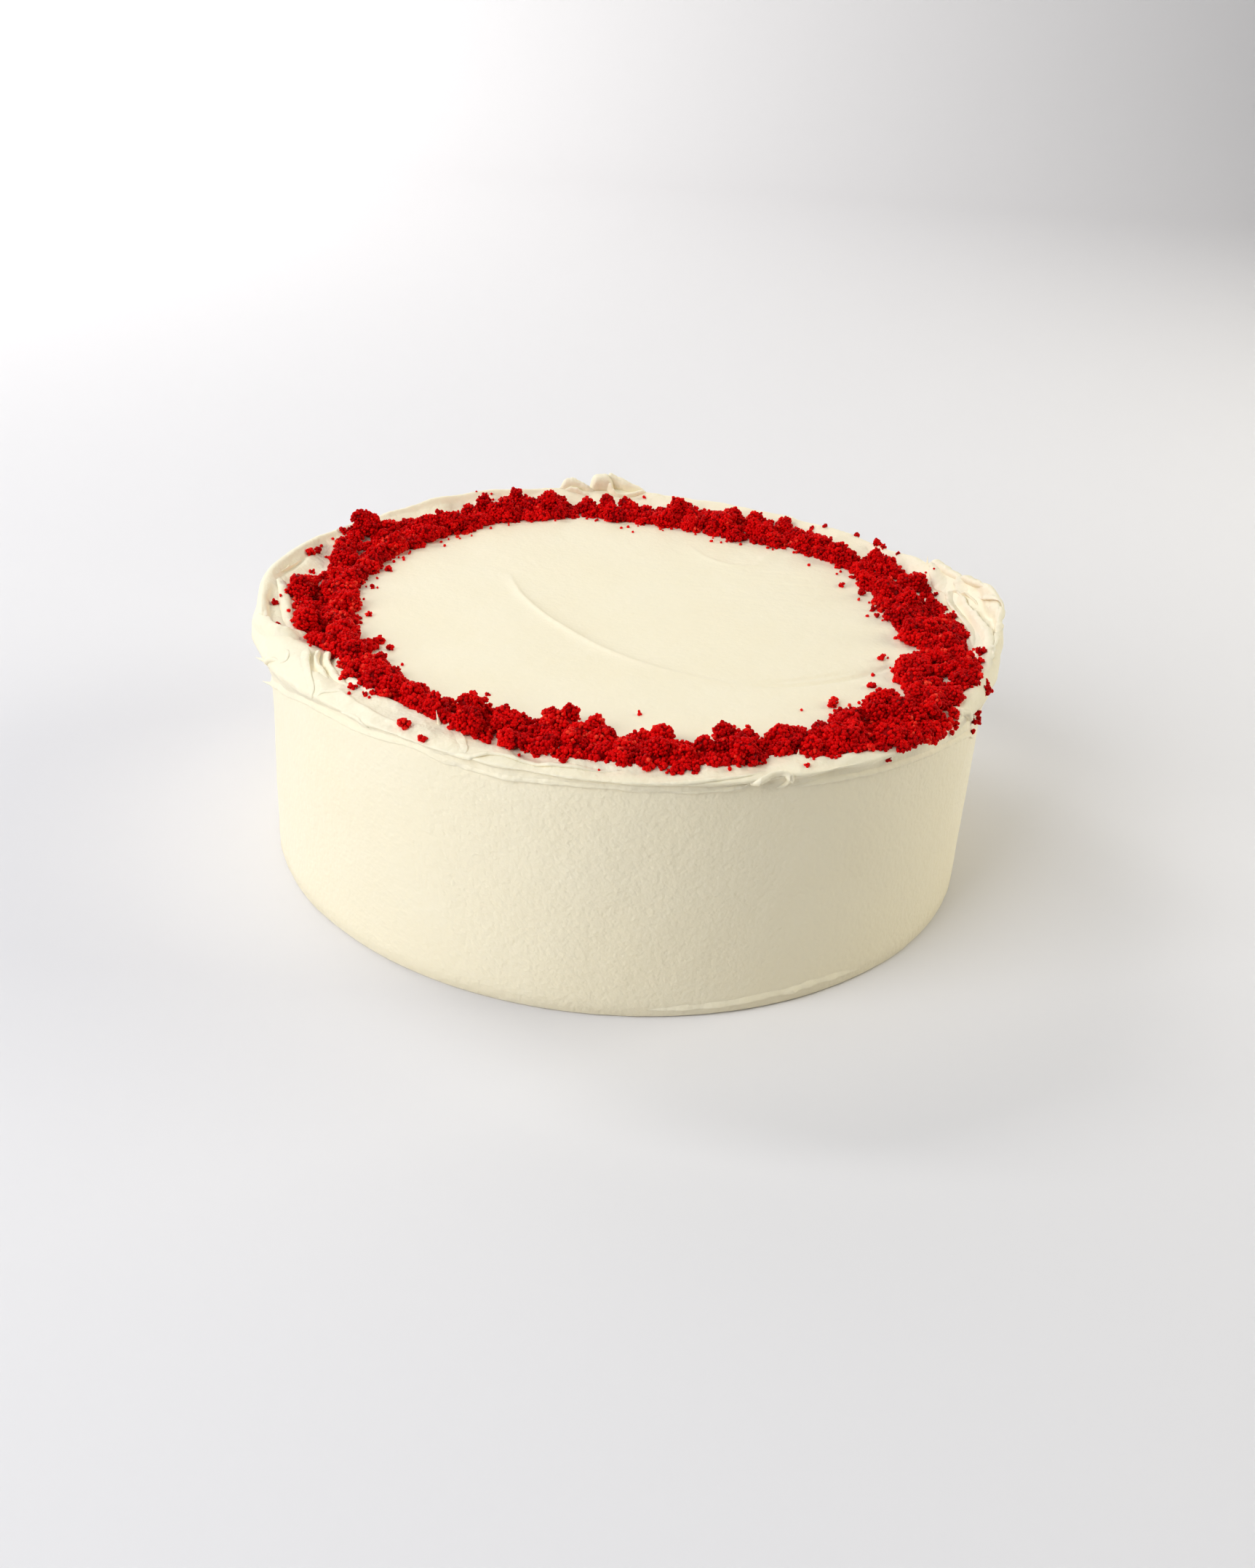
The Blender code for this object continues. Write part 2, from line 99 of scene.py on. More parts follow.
# Soft ridges and creases that single strokes left: (height, width of the gentle side, width of the
# steep side, how far the ridge leans over its steep side, path). The path is a few (angle, place)
# pairs, places from -1 at the cake's foot through 0 at the rim's foot to 1, and its left is the
# steep side.
STROKES = (
    # Back left: two bands laid over each other along the rim, with a crease and a valley between them.
    (0.9, 2.5, 1.0, 0.3, ((146, 0.48), (156, 0.52), (166, 0.56), (176, 0.55), (186, 0.50))),
    (-0.8, 0.8, 0.7, 0.0, (
        (160, 0.67), (167, 0.69), (170, 0.71), (173, 0.70), (176, 0.69), (181, 0.69),
    )),
    (-1.3, 1.5, 1.4, 0.0, (
        (182, 0.69), (186, 0.70), (189, 0.705), (192.5, 0.71), (196.5, 0.69), (201, 0.66),
    )),
    (-0.4, 0.6, 0.5, 0.0, ((191.5, 0.63), (194.2, 0.61), (197.5, 0.53), (199.5, 0.49), (202, 0.45))),
    (0.8, 5.0, 0.6, 0.3, ((146, 0.42), (148, 0.56), (149, 0.72), (150, 0.80))),
    (0.7, 3.0, 1.0, 0.2, ((104, 0.60), (118, 0.60), (133, 0.58), (148, 0.56))),
    # Left: what lies under the rolls and beside the flap.
    (-0.8, 1.0, 1.0, 0.0, ((209.5, 0.66), (212, 0.63), (214.5, 0.62), (217, 0.62))),
    (0.5, 1.2, 0.6, 0.1, ((222, 0.66), (225, 0.63), (229, 0.61), (234, 0.58), (240, 0.60))),
    # Front: the rim's lower edge, a long low wave above it, and the edge that the crumbs lie on.
    (0.6, 3.0, 0.6, 0.4, (
        (290, 0.10), (284, 0.09), (277, 0.09), (270, 0.10), (262, 0.08), (254, 0.06), (245, 0.07),
    )),
    (1.1, 2.0, 0.7, 0.3, (
        (242, 0.74), (251, 0.70), (256.5, 0.79), (261.8, 0.67), (266.8, 0.67), (271.8, 0.63),
        (277.5, 0.67), (286, 0.67), (291.5, 0.76), (298, 0.66), (303, 0.54), (308, 0.47), (312, 0.39),
    )),
    (-0.35, 2.2, 2.2, 0.0, ((249, 0.24), (253, 0.30), (258, 0.31), (262, 0.28), (266, 0.26))),
    (-0.4, 1.1, 1.1, 0.0, ((254, 0.65), (258, 0.66), (264, 0.62), (270, 0.57), (276, 0.55))),
    (-0.2, 0.6, 0.7, 0.0, (
        (293.5, 0.24), (296.5, 0.15), (300, 0.11), (304, 0.08), (308, 0.07), (313, 0.08), (318, 0.10),
    )),
    (-0.25, 0.7, 0.7, 0.0, ((299, 0.36), (303, 0.40), (307, 0.38), (311, 0.33))),
    # Right: the valley between the inner band and the outer petal, and the second petal's crease.
    (-1.3, 1.5, 1.3, 0.0, (
        (345, 0.52), (349, 0.57), (352.5, 0.62), (355, 0.64), (359, 0.68), (362, 0.70), (365, 0.73),
        (368.5, 0.73), (372, 0.72),
    )),
    (-0.8, 0.8, 1.0, 0.0, ((374, 0.64), (371.8, 0.67), (368.8, 0.70), (366, 0.73))),
    (-0.8, 1.2, 1.2, 0.0, ((346, 0.49), (341, 0.43), (337.5, 0.31), (336, 0.18), (331, 0.08))),
    # Back right: small bumps along the crest.
    (0.7, 1.5, 1.2, 0.0, ((27, 0.60), (31, 0.56), (36, 0.60), (44, 0.58), (58, 0.60))),
)

SIDE_COLUMNS = 1000
BUSY_STRETCHES = ((208, 26, 1.1), (5, 26, 0.9), (292, 12, 0.4))  # (angle, spread, extra sections)
WALL_ROWS = 24                          # closer together towards the rim
RIM_ROWS = 70
SHELF_DROP = 3.0                        # how far the side's own top lies under the smooth top piece
FOOT_ROUNDING = 0.8
STROKE_STEPS = 12                       # between two points of a stroke's path
STROKE_REACH = 3.0                      # gentle widths past a stroke's ends that it still moves
STROKE_FADE = 0.2                       # share of a stroke over which each of its ends fades

# The frosting's own unevenness, as (height, wavelength) of random waves, and where it fades out.
RIM_RIPPLES = (0.08, 3.4)               # drawn out along the rim by the spatula
RIM_RIPPLE_STRETCH = 0.16
RIM_SWELLS = (0.30, 14.0)
RIM_DIMPLES = (0.10, 5.0)
WALL_SWELLS = (0.10, 26.0)
WALL_DIMPLES = (0.06, 9.0)
FINE_WAVES = 24                         # how many sines the dimples are summed from
RIM_FADES = (0.2, 0.15)                 # shares of the rim's section at its outer and inner end
WALL_FADE = 0.1


def bump(angle, centre, spread):
    """1 at the centre angle, and smoothly down to 0 about two spreads away: a bell curve."""
    away = (angle - centre + 180.0) % 360.0 - 180.0
    return np.exp(-((away / spread) ** 2))


def varied(base, changes, angle):
    """A size that is base all round, plus a bell curve for each of its local changes."""
    size = base + 0.0 * angle
    for centre, spread, amount in changes:
        size = size + amount * bump(angle, centre, spread)
    return size


def waves(points, wavelength, seed, count=14):
    """A smooth random field of about that wavelength: a sum of sine waves that run in random
    directions with random phases, scaled so that most of it lies between -1 and 1."""
    rng = np.random.default_rng(seed)
    direction = rng.normal(size=(count, 3))
    direction /= np.linalg.norm(direction, axis=1, keepdims=True)
    pitch = math.tau / (wavelength * rng.uniform(0.7, 1.5, count))
    phase = rng.uniform(0.0, math.tau, count)
    total = np.zeros(points.shape[:-1])
    for k in range(count):
        total += np.sin(points @ (direction[k] * pitch[k]) + phase[k])
    return total / math.sqrt(count)


def uneven(points, size, seed, count=14):
    """Random waves of that height and wavelength."""
    height, wavelength = size
    return height * waves(points, wavelength, seed, count)


def spline(points, across):
    """Catmull-Rom curve through rows 1 to -2 of points, read at each place from 0 to 1."""
    spans = len(points) - 3
    at = np.clip(across * spans, 0.0, spans - 1e-6)
    first = at.astype(int)
    t = (at - first).reshape((-1,) + (1,) * (points.ndim - 1))
    p0, p1, p2, p3 = (points[first + k] for k in range(4))
    return 0.5 * (2 * p1 + (p2 - p0) * t + (2 * p0 - 5 * p1 + 4 * p2 - p3) * t**2
                  + (3 * p1 - p0 - 3 * p2 + p3) * t**3)


def rim_sizes(angle):
    """Foot, swell, crest and inner end of the rim's section at each angle."""
    foot = varied(RIM_FOOT_HEIGHT, FOOT_CHANGES, angle)
    outer = CAKE_RADIUS + varied(RIM_SWELL, SWELL_CHANGES, angle)
    crest = varied(RIM_CREST_HEIGHT, CREST_CHANGES, angle)
    crest_radius = varied(RIM_CREST_RADIUS, CREST_RADIUS_CHANGES, angle)
    return foot, outer, crest, crest_radius, crest_radius - RIM_DEPTH


def rim_section(angle, across):
    """Radius and height on a smooth curve through the rim's points: up the wall, out to the
    swell, in over the shoulder to the crest, and down to the top. Rows are places across it."""
    foot, outer, crest, crest_radius, inner = rim_sizes(angle)
    rise = crest - foot
    wall = CAKE_RADIUS + 0.0 * angle
    top = TOP_HEIGHT + 0.0 * angle
    hollow = wall + HOLLOW[0] * (outer - wall)
    shoulder = outer + SHOULDER[0] * (crest_radius - outer)
    landing = crest_radius + LANDING[0] * (inner - crest_radius)
    points_r = (wall, wall, wall, hollow, outer, shoulder, crest_radius, landing, inner,
                inner - RIM_RUN_IN, inner - 2.0 * RIM_RUN_IN)
    points_z = (foot - 2.0 * RIM_RUN_IN, foot - RIM_RUN_IN, foot, foot + HOLLOW[1] * rise,
                foot + SWELL_PLACE * rise, foot + SHOULDER[1] * rise, crest,
                top + LANDING[1] * (crest - top), top, top, top)
    return spline(np.array(points_r), across), spline(np.array(points_z), across)


def side_point(angle, place):
    """Point on the plain side at each pair of angle and place, places below 0 lying on the wall."""
    radius, height = (np.diagonal(part) for part in rim_section(angle, np.clip(place, 0.0, 1.0)))
    height = height * np.where(place < 0.0, 1.0 + place, 1.0)
    turn = np.radians(angle)
    return np.stack((radius * np.cos(turn), radius * np.sin(turn), height), axis=-1)


def stroke_shift(points, normals, angle, stroke):
    """How far one stroke moves each point: along the normal by a bell curve of the distance from
    its path, wide on the gentle side and narrow on the steep one, and sideways over the steep side."""
    height, gentle, steep, lean, path = stroke
    path = np.array(path)
    steps = STROKE_STEPS * (len(path) - 1)
    ends = np.vstack((2 * path[0] - path[1], path, 2 * path[-1] - path[-2]))
    share = np.linspace(0.0, 1.0, steps)
    line_angle, line_place = spline(ends, share).T
    line = side_point(line_angle, line_place)
    along = np.gradient(line, axis=0)
    along /= np.linalg.norm(along, axis=1, keepdims=True)
    up = side_normal(line_angle, line_place)
    left = np.cross(up, along)
    reach = np.degrees(STROKE_REACH * gentle / CAKE_RADIUS)
    middle = 0.5 * (line_angle.min() + line_angle.max())
    half = 0.5 * (line_angle.max() - line_angle.min()) + reach
    near = np.abs((angle - middle + 180.0) % 360.0 - 180.0) < half
    shift = np.zeros_like(points)
    close = points[:, near]
    gap = close[:, :, None, :] - line[None, None]
    nearest = (gap**2).sum(-1).argmin(-1)
    offset = np.take_along_axis(gap, nearest[..., None, None], axis=2)[:, :, 0]
    across = (offset * left[nearest]).sum(-1)
    beyond = (offset * along[nearest]).sum(-1)
    fade = np.clip(np.minimum(share, 1.0 - share) / STROKE_FADE, 0.0, 1.0)[nearest]
    fade = fade * fade * (3.0 - 2.0 * fade)
    off_surface = (offset * up[nearest]).sum(-1)
    stray = np.exp(-((beyond / gentle) ** 2) - ((off_surface / (2.0 * gentle)) ** 2))
    profile = np.exp(-((across / np.where(across > 0.0, steep, gentle)) ** 2)) * fade * stray
    push = np.exp(-((across / np.where(across > 0.0, steep, 0.6 * gentle)) ** 2)) * fade * stray
    shift[:, near] = (height * profile[..., None] * normals[:, near]
                      + lean * push[..., None] * left[nearest])
    return shift


def side_normal(angle, place):
    """Outward direction of the plain side: across the steps to a neighbour round it and a
    neighbour up it."""
    here = side_point(angle, place)
    round_it = side_point(angle + 0.1, place) - here
    up_it = side_point(angle, place + 0.002) - here
    normal = np.cross(round_it, up_it)
    return normal / np.linalg.norm(normal, axis=1, keepdims=True)


def grid_normals(points):
    """Outward direction at each point of a grid whose columns go round the cake and whose rows go
    up its side and in over its top."""
    round_it = np.roll(points, -1, axis=1) - np.roll(points, 1, axis=1)
    up_it = np.gradient(points, axis=0)
    normal = np.cross(round_it, up_it)
    return normal / np.maximum(np.linalg.norm(normal, axis=-1, keepdims=True), 1e-9)


def side_columns():
    """Angles of the side's sections, closer together in the busy stretches: the running total of
    a density, read backwards at even steps."""
    fine = np.arange(0.0, 360.0, 0.1)
    density = 1.0 + sum(extra * bump(fine, centre, spread) for centre, spread, extra in BUSY_STRETCHES)
    total = np.concatenate(([0.0], np.cumsum(density)))
    return np.interp(np.arange(SIDE_COLUMNS) * total[-1] / SIDE_COLUMNS, total, np.append(fine, 360.0))


def broad_relief(angle, across):
    """Height that the broad strokes add: a bell curve across each one, fading in and out along it."""
    relief = np.zeros(np.broadcast(angle, across).shape)
    for start, end, place_start, place_end, width, height in BROAD_STROKES:
        along = ((angle - start) * np.sign(end - start)) % 360.0 / abs(end - start)
        place = place_start + (place_end - place_start) * np.clip(along, 0, 1)
        fade = np.where(along < 1.0, np.sin(math.pi * np.clip(along, 0, 1)) ** 0.6, 0.0)
        relief += height * fade * np.exp(-(((across - place) / width) ** 2))
    return relief


def side_points():
    """Rows of points from the foot up the wall, over the rim and in to the shelf under the smooth
    top: the plain section, moved along its normals by the strokes and the frosting's own waves."""
    angle = side_columns()
    across = np.linspace(0.0, 1.0, RIM_ROWS)
    radius, height = rim_section(angle, across)
    share = 1.0 - (1.0 - np.arange(WALL_ROWS)[:, None] / WALL_ROWS) ** 2
    radius = np.concatenate((CAKE_RADIUS + 0.0 * share * angle, radius))
    height = np.concatenate((share * height[0], height))
    turn = np.radians(angle)
    plain = np.stack((radius * np.cos(turn), radius * np.sin(turn), height), axis=-1)
    normals = grid_normals(plain)

    place = np.concatenate((share[:, 0] - 1.0, across))[:, None]
    on_rim = np.clip(place / RIM_FADES[0], 0.0, 1.0) * np.clip((1.0 - place) / RIM_FADES[1], 0.0, 1.0)
    on_wall = np.clip(-place / WALL_FADE, 0.0, 1.0)
    stretched = plain * np.array((RIM_RIPPLE_STRETCH, RIM_RIPPLE_STRETCH, 1.0))
    relief = on_rim * (broad_relief(angle[None, :], np.clip(place, 0.0, 1.0))
                       + uneven(stretched, RIM_RIPPLES, 11) + uneven(plain, RIM_SWELLS, 12)
                       + uneven(plain, RIM_DIMPLES, 15, FINE_WAVES))
    relief += on_wall * (uneven(plain, WALL_SWELLS, 13) + uneven(plain, WALL_DIMPLES, 14, FINE_WAVES))
    moved = plain + relief[..., None] * normals
    for stroke in STROKES:
        moved = moved + stroke_shift(plain, normals, angle, stroke)

    edge = moved[-1]
    shelf = edge.copy()
    shelf[:, 2] = TOP_HEIGHT - SHELF_DROP
    inner = shelf.copy()
    inner[:, :2] *= 0.5
    foot = moved[0].copy()
    foot[:, 2] = 0.0
    foot[:, :2] *= (CAKE_RADIUS - FOOT_ROUNDING) / np.linalg.norm(foot[:, :2], axis=1, keepdims=True)
    moved[0, :, 2] = FOOT_ROUNDING
    under = foot.copy()
    under[:, :2] *= 0.5
    return np.concatenate((under[None], foot[None], moved, shelf[None], inner[None]))


def grid_mesh(name, rows, bottom, top):
    """A closed mesh through rows of points round the cake, from a bottom pole to a top pole."""
    points = np.concatenate((rows.reshape(-1, 3), [bottom, top])) * MM
    return mesh_from(name, points, *grid_faces(*rows.shape[:2]))


def grid_faces(count, columns):
    """Faces of a closed grid with that many rows and columns and a pole at each end: each quad joins
    a point to its neighbours round and up, and a fan of triangles closes each end."""
    c = np.arange(columns)
    d = (c + 1) % columns
    r = np.arange(count - 1)[:, None] * columns
    quads = np.stack((r + c, r + d, r + columns + d, r + columns + c), axis=-1).reshape(-1, 4)
    last = (count - 1) * columns
    pole = count * columns
    fans = np.concatenate((np.stack((np.full(columns, pole), d, c), axis=-1),
                           np.stack((np.full(columns, pole + 1), last + c, last + d), axis=-1)))
    return (np.concatenate((quads.ravel(), fans.ravel())),
            np.concatenate((np.full(len(quads), 4), np.full(len(fans), 3))))


def mesh_from(name, points, corners, sizes):
    """A smooth-shaded object from arrays: its points, every face's corners in one row, and the
    number of corners of each face."""
    mesh = bpy.data.meshes.new(name)
    mesh.vertices.add(len(points))
    mesh.vertices.foreach_set("co", np.asarray(points, np.float32).ravel())
    mesh.loops.add(len(corners))
    mesh.loops.foreach_set("vertex_index", np.asarray(corners, np.int32))
    mesh.polygons.add(len(sizes))
    starts = np.concatenate(([0], np.cumsum(sizes)[:-1]))
    mesh.polygons.foreach_set("loop_start", np.asarray(starts, np.int32))
    mesh.update(calc_edges=True)
    mesh.shade_smooth()
    made = bpy.data.objects.new(name, mesh)
    bpy.context.scene.collection.objects.link(made)
    return made


def linear(colour):
    """The linear values of an sRGB hex colour: each channel's gamma curve undone."""
    channels = [int(colour[k:k + 2], 16) / 255.0 for k in (1, 3, 5)]
    return [v / 12.92 if v <= 0.04045 else ((v + 0.055) / 1.055) ** 2.4 for v in channels] + [1.0]


def node(tree, kind, settings=None, inputs=None):
    """Adds a shader node. Settings are its properties, and inputs its values or linked sockets."""
    made = tree.nodes.new(kind)
    for name, value in (settings or {}).items():
        setattr(made, name, value)
    for name, value in (inputs or {}).items():
        if isinstance(value, bpy.types.NodeSocket):
            tree.links.new(value, made.inputs[name])
        else:
            made.inputs[name].default_value = value
    return made


def cream_cheese_frosting(name, peel_depth, pore_depth):
    """Whipped cream cheese frosting: fat and air scatter light under its surface, so its edges
    glow and its shadows are soft, and the spatula leaves a satin skin with a fine orange peel."""
    made = bpy.data.materials.new(name)
    made.use_nodes = True
    tree = made.node_tree
    surface = tree.nodes["Principled BSDF"]
    place = node(tree, "ShaderNodeTexCoord").outputs["Object"]
    patches = node(tree, "ShaderNodeTexNoise", inputs={
        "Vector": place, "Scale": 1.0 / (PATCH_SIZE * MM), "Detail": 2.0})
    tone = node(tree, "ShaderNodeMix", {"data_type": "RGBA"}, {"Factor": patches.outputs["Fac"]})
    tone.inputs[6].default_value = linear(FROSTING_LIGHT)
    tone.inputs[7].default_value = linear(FROSTING_DEEP)
    peel = node(tree, "ShaderNodeTexNoise", inputs={
        "Vector": place, "Scale": 1.0 / (PEEL_SIZE * MM), "Detail": 1.5, "Roughness": 0.45})
    pores = node(tree, "ShaderNodeTexNoise", inputs={"Vector": place, "Scale": 1.0 / (PORE_SIZE * MM)})
    coarse = node(tree, "ShaderNodeBump", inputs={
        "Height": peel.outputs["Fac"], "Strength": 0.7, "Distance": peel_depth * MM})
    fine = node(tree, "ShaderNodeBump", inputs={
        "Height": pores.outputs["Fac"], "Strength": 0.5, "Distance": pore_depth * MM,
        "Normal": coarse.outputs["Normal"]})
    tree.links.new(tone.outputs[2], surface.inputs["Base Color"])
    tree.links.new(fine.outputs["Normal"], surface.inputs["Normal"])
    surface.inputs["Roughness"].default_value = 0.48
    surface.inputs["IOR"].default_value = 1.45
    surface.inputs["Subsurface Weight"].default_value = 0.2
    surface.inputs["Subsurface Radius"].default_value = (1.0, 0.95, 0.85)
    surface.inputs["Subsurface Scale"].default_value = 0.001
    return made


FROSTING_LIGHT = "#F8EED2"
FROSTING_DEEP = "#F6EAC9"
PATCH_SIZE = 1000.0 / 28.0              # patches where the cheese was mixed in less evenly
PEEL_SIZE = 1.7                         # the peel's bumps, as on the front of the wall
PEEL_DEPTH = 0.44
PORE_SIZE = 0.8
PORE_DEPTH = 0.14

frosting = cream_cheese_frosting("cream_cheese_frosting", PEEL_DEPTH, PORE_DEPTH)
side_rows = side_points()
side = grid_mesh("frosting_side", side_rows, (0.0, 0.0, 0.0), (0.0, 0.0, TOP_HEIGHT - SHELF_DROP))
side.data.materials.append(frosting)
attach(side, "root")
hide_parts("frosted_cake")


# The frosting's folds. Where the spatula turned back at the rim, the frosting stands over what lies
# under it: lips that one stroke laid over another, rounded rolls, two curls at the back and torn
# points. They are part of the same frosting, and their undersides are sunk into it.
FOLD_STEPS = 9                          # sections between two points of a path
LIP_RISE_POINTS = 9
LIP_EDGE_POINTS = 8
ROLL_POINTS = 13
FOLD_SUNK = 0.5                         # how far its section's ends reach under the side
FOLD_RAGGED = 0.16                      # how far a fold's height and edge vary along it
RAGGED_LONG = (1.2, 8.0)                # (share, wavelength) of the waves that it varies by
RAGGED_MEDIUM = (1.0, 3.2)
RAGGED_SHORT = (0.6, 1.4)
MM_PER_DEGREE = 2.0                     # round the rim, nearly
RIM_LENGTH = 36.0                       # across the rim's section, counted generously

# Lips: (width of the gentle side, thickness of the rounded edge, how far it hangs over, path). The
# path is a few (angle, place, height) points, and the edge hangs over on its left.
LIPS = (
    # Left: the flap over the valley, its inner edge on the crumbs, and its edge beside the rolls.
    (5.5, 1.5, 0.5, (
        (191.5, 0.42, 0.4), (195.5, 0.50, 0.9), (198.5, 0.56, 1.4), (200.8, 0.60, 1.8),
        (201.9, 0.66, 1.9), (201.7, 0.74, 1.7), (201.4, 0.80, 1.5), (202.4, 0.86, 1.3),
        (204.4, 0.89, 1.2), (207.0, 0.87, 0.9),
    )),
    (3.0, 1.5, 0.6, (
        (204.0, 0.89, 0.9), (205.8, 0.87, 1.4), (207.5, 0.845, 1.4), (209.5, 0.845, 1.8),
        (211.8, 0.85, 1.9), (214.0, 0.815, 1.6), (216.5, 0.80, 1.0), (219.0, 0.81, 0.8),
        (222.0, 0.835, 0.7), (226.0, 0.83, 0.6), (229.0, 0.79, 0.4),
    )),
    (3.6, 0.9, 0.1, (
        (208.4, 0.63, 0.3), (210.4, 0.60, 0.8), (212.4, 0.58, 0.9), (215.0, 0.57, 0.6),
        (217.8, 0.53, 0.45), (220.0, 0.45, 0.35), (220.4, 0.34, 0.3), (219.2, 0.24, 0.2),
    )),
    (1.8, 0.8, 0.0, (
        (206.0, 0.51, 0.1), (207.8, 0.515, 0.2), (209.3, 0.49, 0.25), (209.9, 0.455, 0.2),
        (209.0, 0.40, 0.1),
    )),
    (2.5, 0.8, 0.0, (
        (225.2, 0.66, 0.2), (223.5, 0.61, 0.35), (222.6, 0.54, 0.4), (221.8, 0.45, 0.35),
        (221.6, 0.38, 0.2),
    )),
    (2.2, 0.8, 0.0, (
        (226.4, 0.26, 0.2), (228.6, 0.37, 0.35), (230.4, 0.39, 0.4), (232.2, 0.32, 0.4),
        (232.8, 0.16, 0.2),
    )),
    # Left to front: the rim's lower edge, where it hangs over the wall.
    (3.4, 1.1, 0.05, (
        (249.0, 0.055, 0.2), (245.8, 0.05, 0.35), (242.5, 0.085, 0.45), (239.5, 0.09, 0.45),
        (235.0, 0.07, 0.4), (230.5, 0.06, 0.45), (226.5, 0.06, 0.45), (221.8, 0.08, 0.5),
        (216.2, 0.10, 0.55), (208.8, 0.10, 0.6), (203.0, 0.10, 0.8), (197.5, 0.07, 0.9),
        (193.5, 0.03, 0.6), (188.0, 0.00, 0.3),
    )),
    # Back left: the inner band's torn start.
    (1.2, 0.5, 0.2, ((177.4, 0.665, 0.3), (174.8, 0.675, 0.7), (172.0, 0.69, 0.6), (169.0, 0.69, 0.2))),
    # Front: the torn ridge below the thin point.
    (4.0, 1.2, 0.0, (
        (240.4, 0.86, 0.2), (242.5, 0.84, 0.5), (244.8, 0.78, 0.6), (247.0, 0.67, 0.6),
        (248.4, 0.55, 0.4), (248.8, 0.45, 0.2),
    )),
    # Front: the lower fold's two edges, the crumbs' rounded edge above them, and two ridges beside
    # the hook.
    (3.0, 0.9, 0.15, (
        (270.0, 0.58, 0.2), (264.0, 0.565, 0.5), (260.0, 0.55, 0.65), (256.2, 0.55, 0.7),
        (252.5, 0.54, 0.7), (250.5, 0.45, 0.6), (248.5, 0.32, 0.5), (246.0, 0.16, 0.3),
        (243.0, 0.10, 0.2),
    )),
    (2.4, 1.1, 0.05, (
        (278.0, 0.07, 0.2), (273.0, 0.07, 0.3), (268.0, 0.08, 0.35), (261.5, 0.08, 0.4),
        (256.8, 0.06, 0.4), (252.2, 0.05, 0.4), (248.8, 0.05, 0.3), (246.0, 0.05, 0.2),
    )),
    (3.5, 1.2, 0.1, (
        (251.5, 0.72, 0.2), (254.0, 0.79, 0.6), (257.0, 0.83, 0.8), (259.4, 0.76, 0.7),
        (263.2, 0.75, 0.6), (266.0, 0.70, 0.5), (270.0, 0.67, 0.4), (275.0, 0.63, 0.2),
    )),
    (2.4, 1.0, 0.05, (
        (290.0, 0.54, 0.2), (287.2, 0.48, 0.4), (283.2, 0.44, 0.5), (279.0, 0.40, 0.5),
        (274.0, 0.39, 0.2),
    )),
    (2.0, 0.9, 0.05, (
        (288.0, 0.11, 0.2), (286.4, 0.11, 0.4), (283.5, 0.085, 0.4), (279.2, 0.07, 0.35),
        (275.0, 0.07, 0.2),
    )),
    # Front right: the rim's lower edge again.
    (2.6, 1.0, 0.1, (
        (343.0, -0.035, 0.3), (338.0, -0.03, 0.7), (333.0, 0.02, 0.7), (327.0, 0.025, 0.6),
        (321.0, 0.03, 0.6), (314.0, 0.03, 0.6), (307.0, 0.035, 0.55), (301.0, 0.045, 0.5),
        (297.0, 0.05, 0.4), (293.5, 0.055, 0.2),
    )),
    (2.4, 0.8, 0.1, (
        (338.5, 0.26, 0.3), (336.4, 0.18, 0.7), (332.8, 0.12, 0.8), (329.2, 0.09, 0.7),
        (325.0, 0.06, 0.3),
    )),
    # Right: the inner band's two edges, the outer petal's edge, and the torn fringe across it.
    (4.0, 1.1, 0.35, (
        (374.0, 0.745, 0.5), (371.5, 0.77, 1.2), (368.8, 0.79, 1.5), (365.0, 0.785, 1.5),
        (361.2, 0.75, 1.4), (356.8, 0.69, 1.3), (353.5, 0.65, 1.1), (350.5, 0.61, 0.9),
        (347.8, 0.56, 0.7), (344.0, 0.51, 0.3),
    )),
    (2.4, 1.0, 0.3, (
        (353.0, 0.79, 0.3), (358.5, 0.835, 0.7), (363.5, 0.86, 0.9), (367.2, 0.88, 1.1),
        (370.0, 0.885, 1.2), (372.8, 0.865, 1.3), (374.6, 0.83, 1.3), (375.9, 0.78, 1.1),
        (375.4, 0.735, 0.5),
    )),
    (2.6, 0.9, 0.25, (
        (364.5, 0.54, 0.3), (362.4, 0.545, 0.7), (361.0, 0.54, 0.9), (358.5, 0.54, 1.0),
        (355.2, 0.57, 1.0), (351.2, 0.565, 0.8), (348.2, 0.54, 0.6), (345.4, 0.50, 0.3),
    )),
    (2.6, 0.6, 0.2, (
        (361.8, 0.52, 0.3), (363.0, 0.555, 0.7), (364.4, 0.60, 0.8), (366.0, 0.65, 0.8),
        (368.0, 0.685, 0.6), (370.0, 0.70, 0.2),
    )),
    # Right: the leaf's and the second petal's free edges.
    (6.0, 1.0, 0.4, (
        (377.0, 0.79, 0.3), (379.6, 0.78, 0.8), (381.6, 0.735, 1.1), (383.2, 0.69, 1.3),
        (384.6, 0.63, 1.5), (385.4, 0.575, 1.4), (385.8, 0.52, 0.6),
    )),
    (4.5, 0.9, 0.4, (
        (372.6, 0.765, 0.3), (374.4, 0.735, 0.8), (375.9, 0.71, 1.1), (376.9, 0.67, 1.3),
        (377.5, 0.61, 1.3), (377.6, 0.55, 0.5),
    )),
    # Foot: where the frosting was scraped off below the wall.
    (3.0, 0.6, 0.1, (
        (311.0, -0.962, 0.2), (306.0, -0.950, 0.5), (300.5, -0.944, 0.6), (297.6, -0.955, 0.9),
        (294.5, -0.950, 0.5), (288.0, -0.962, 0.6), (281.0, -0.968, 0.4), (275.0, -0.972, 0.2),
    )),
)

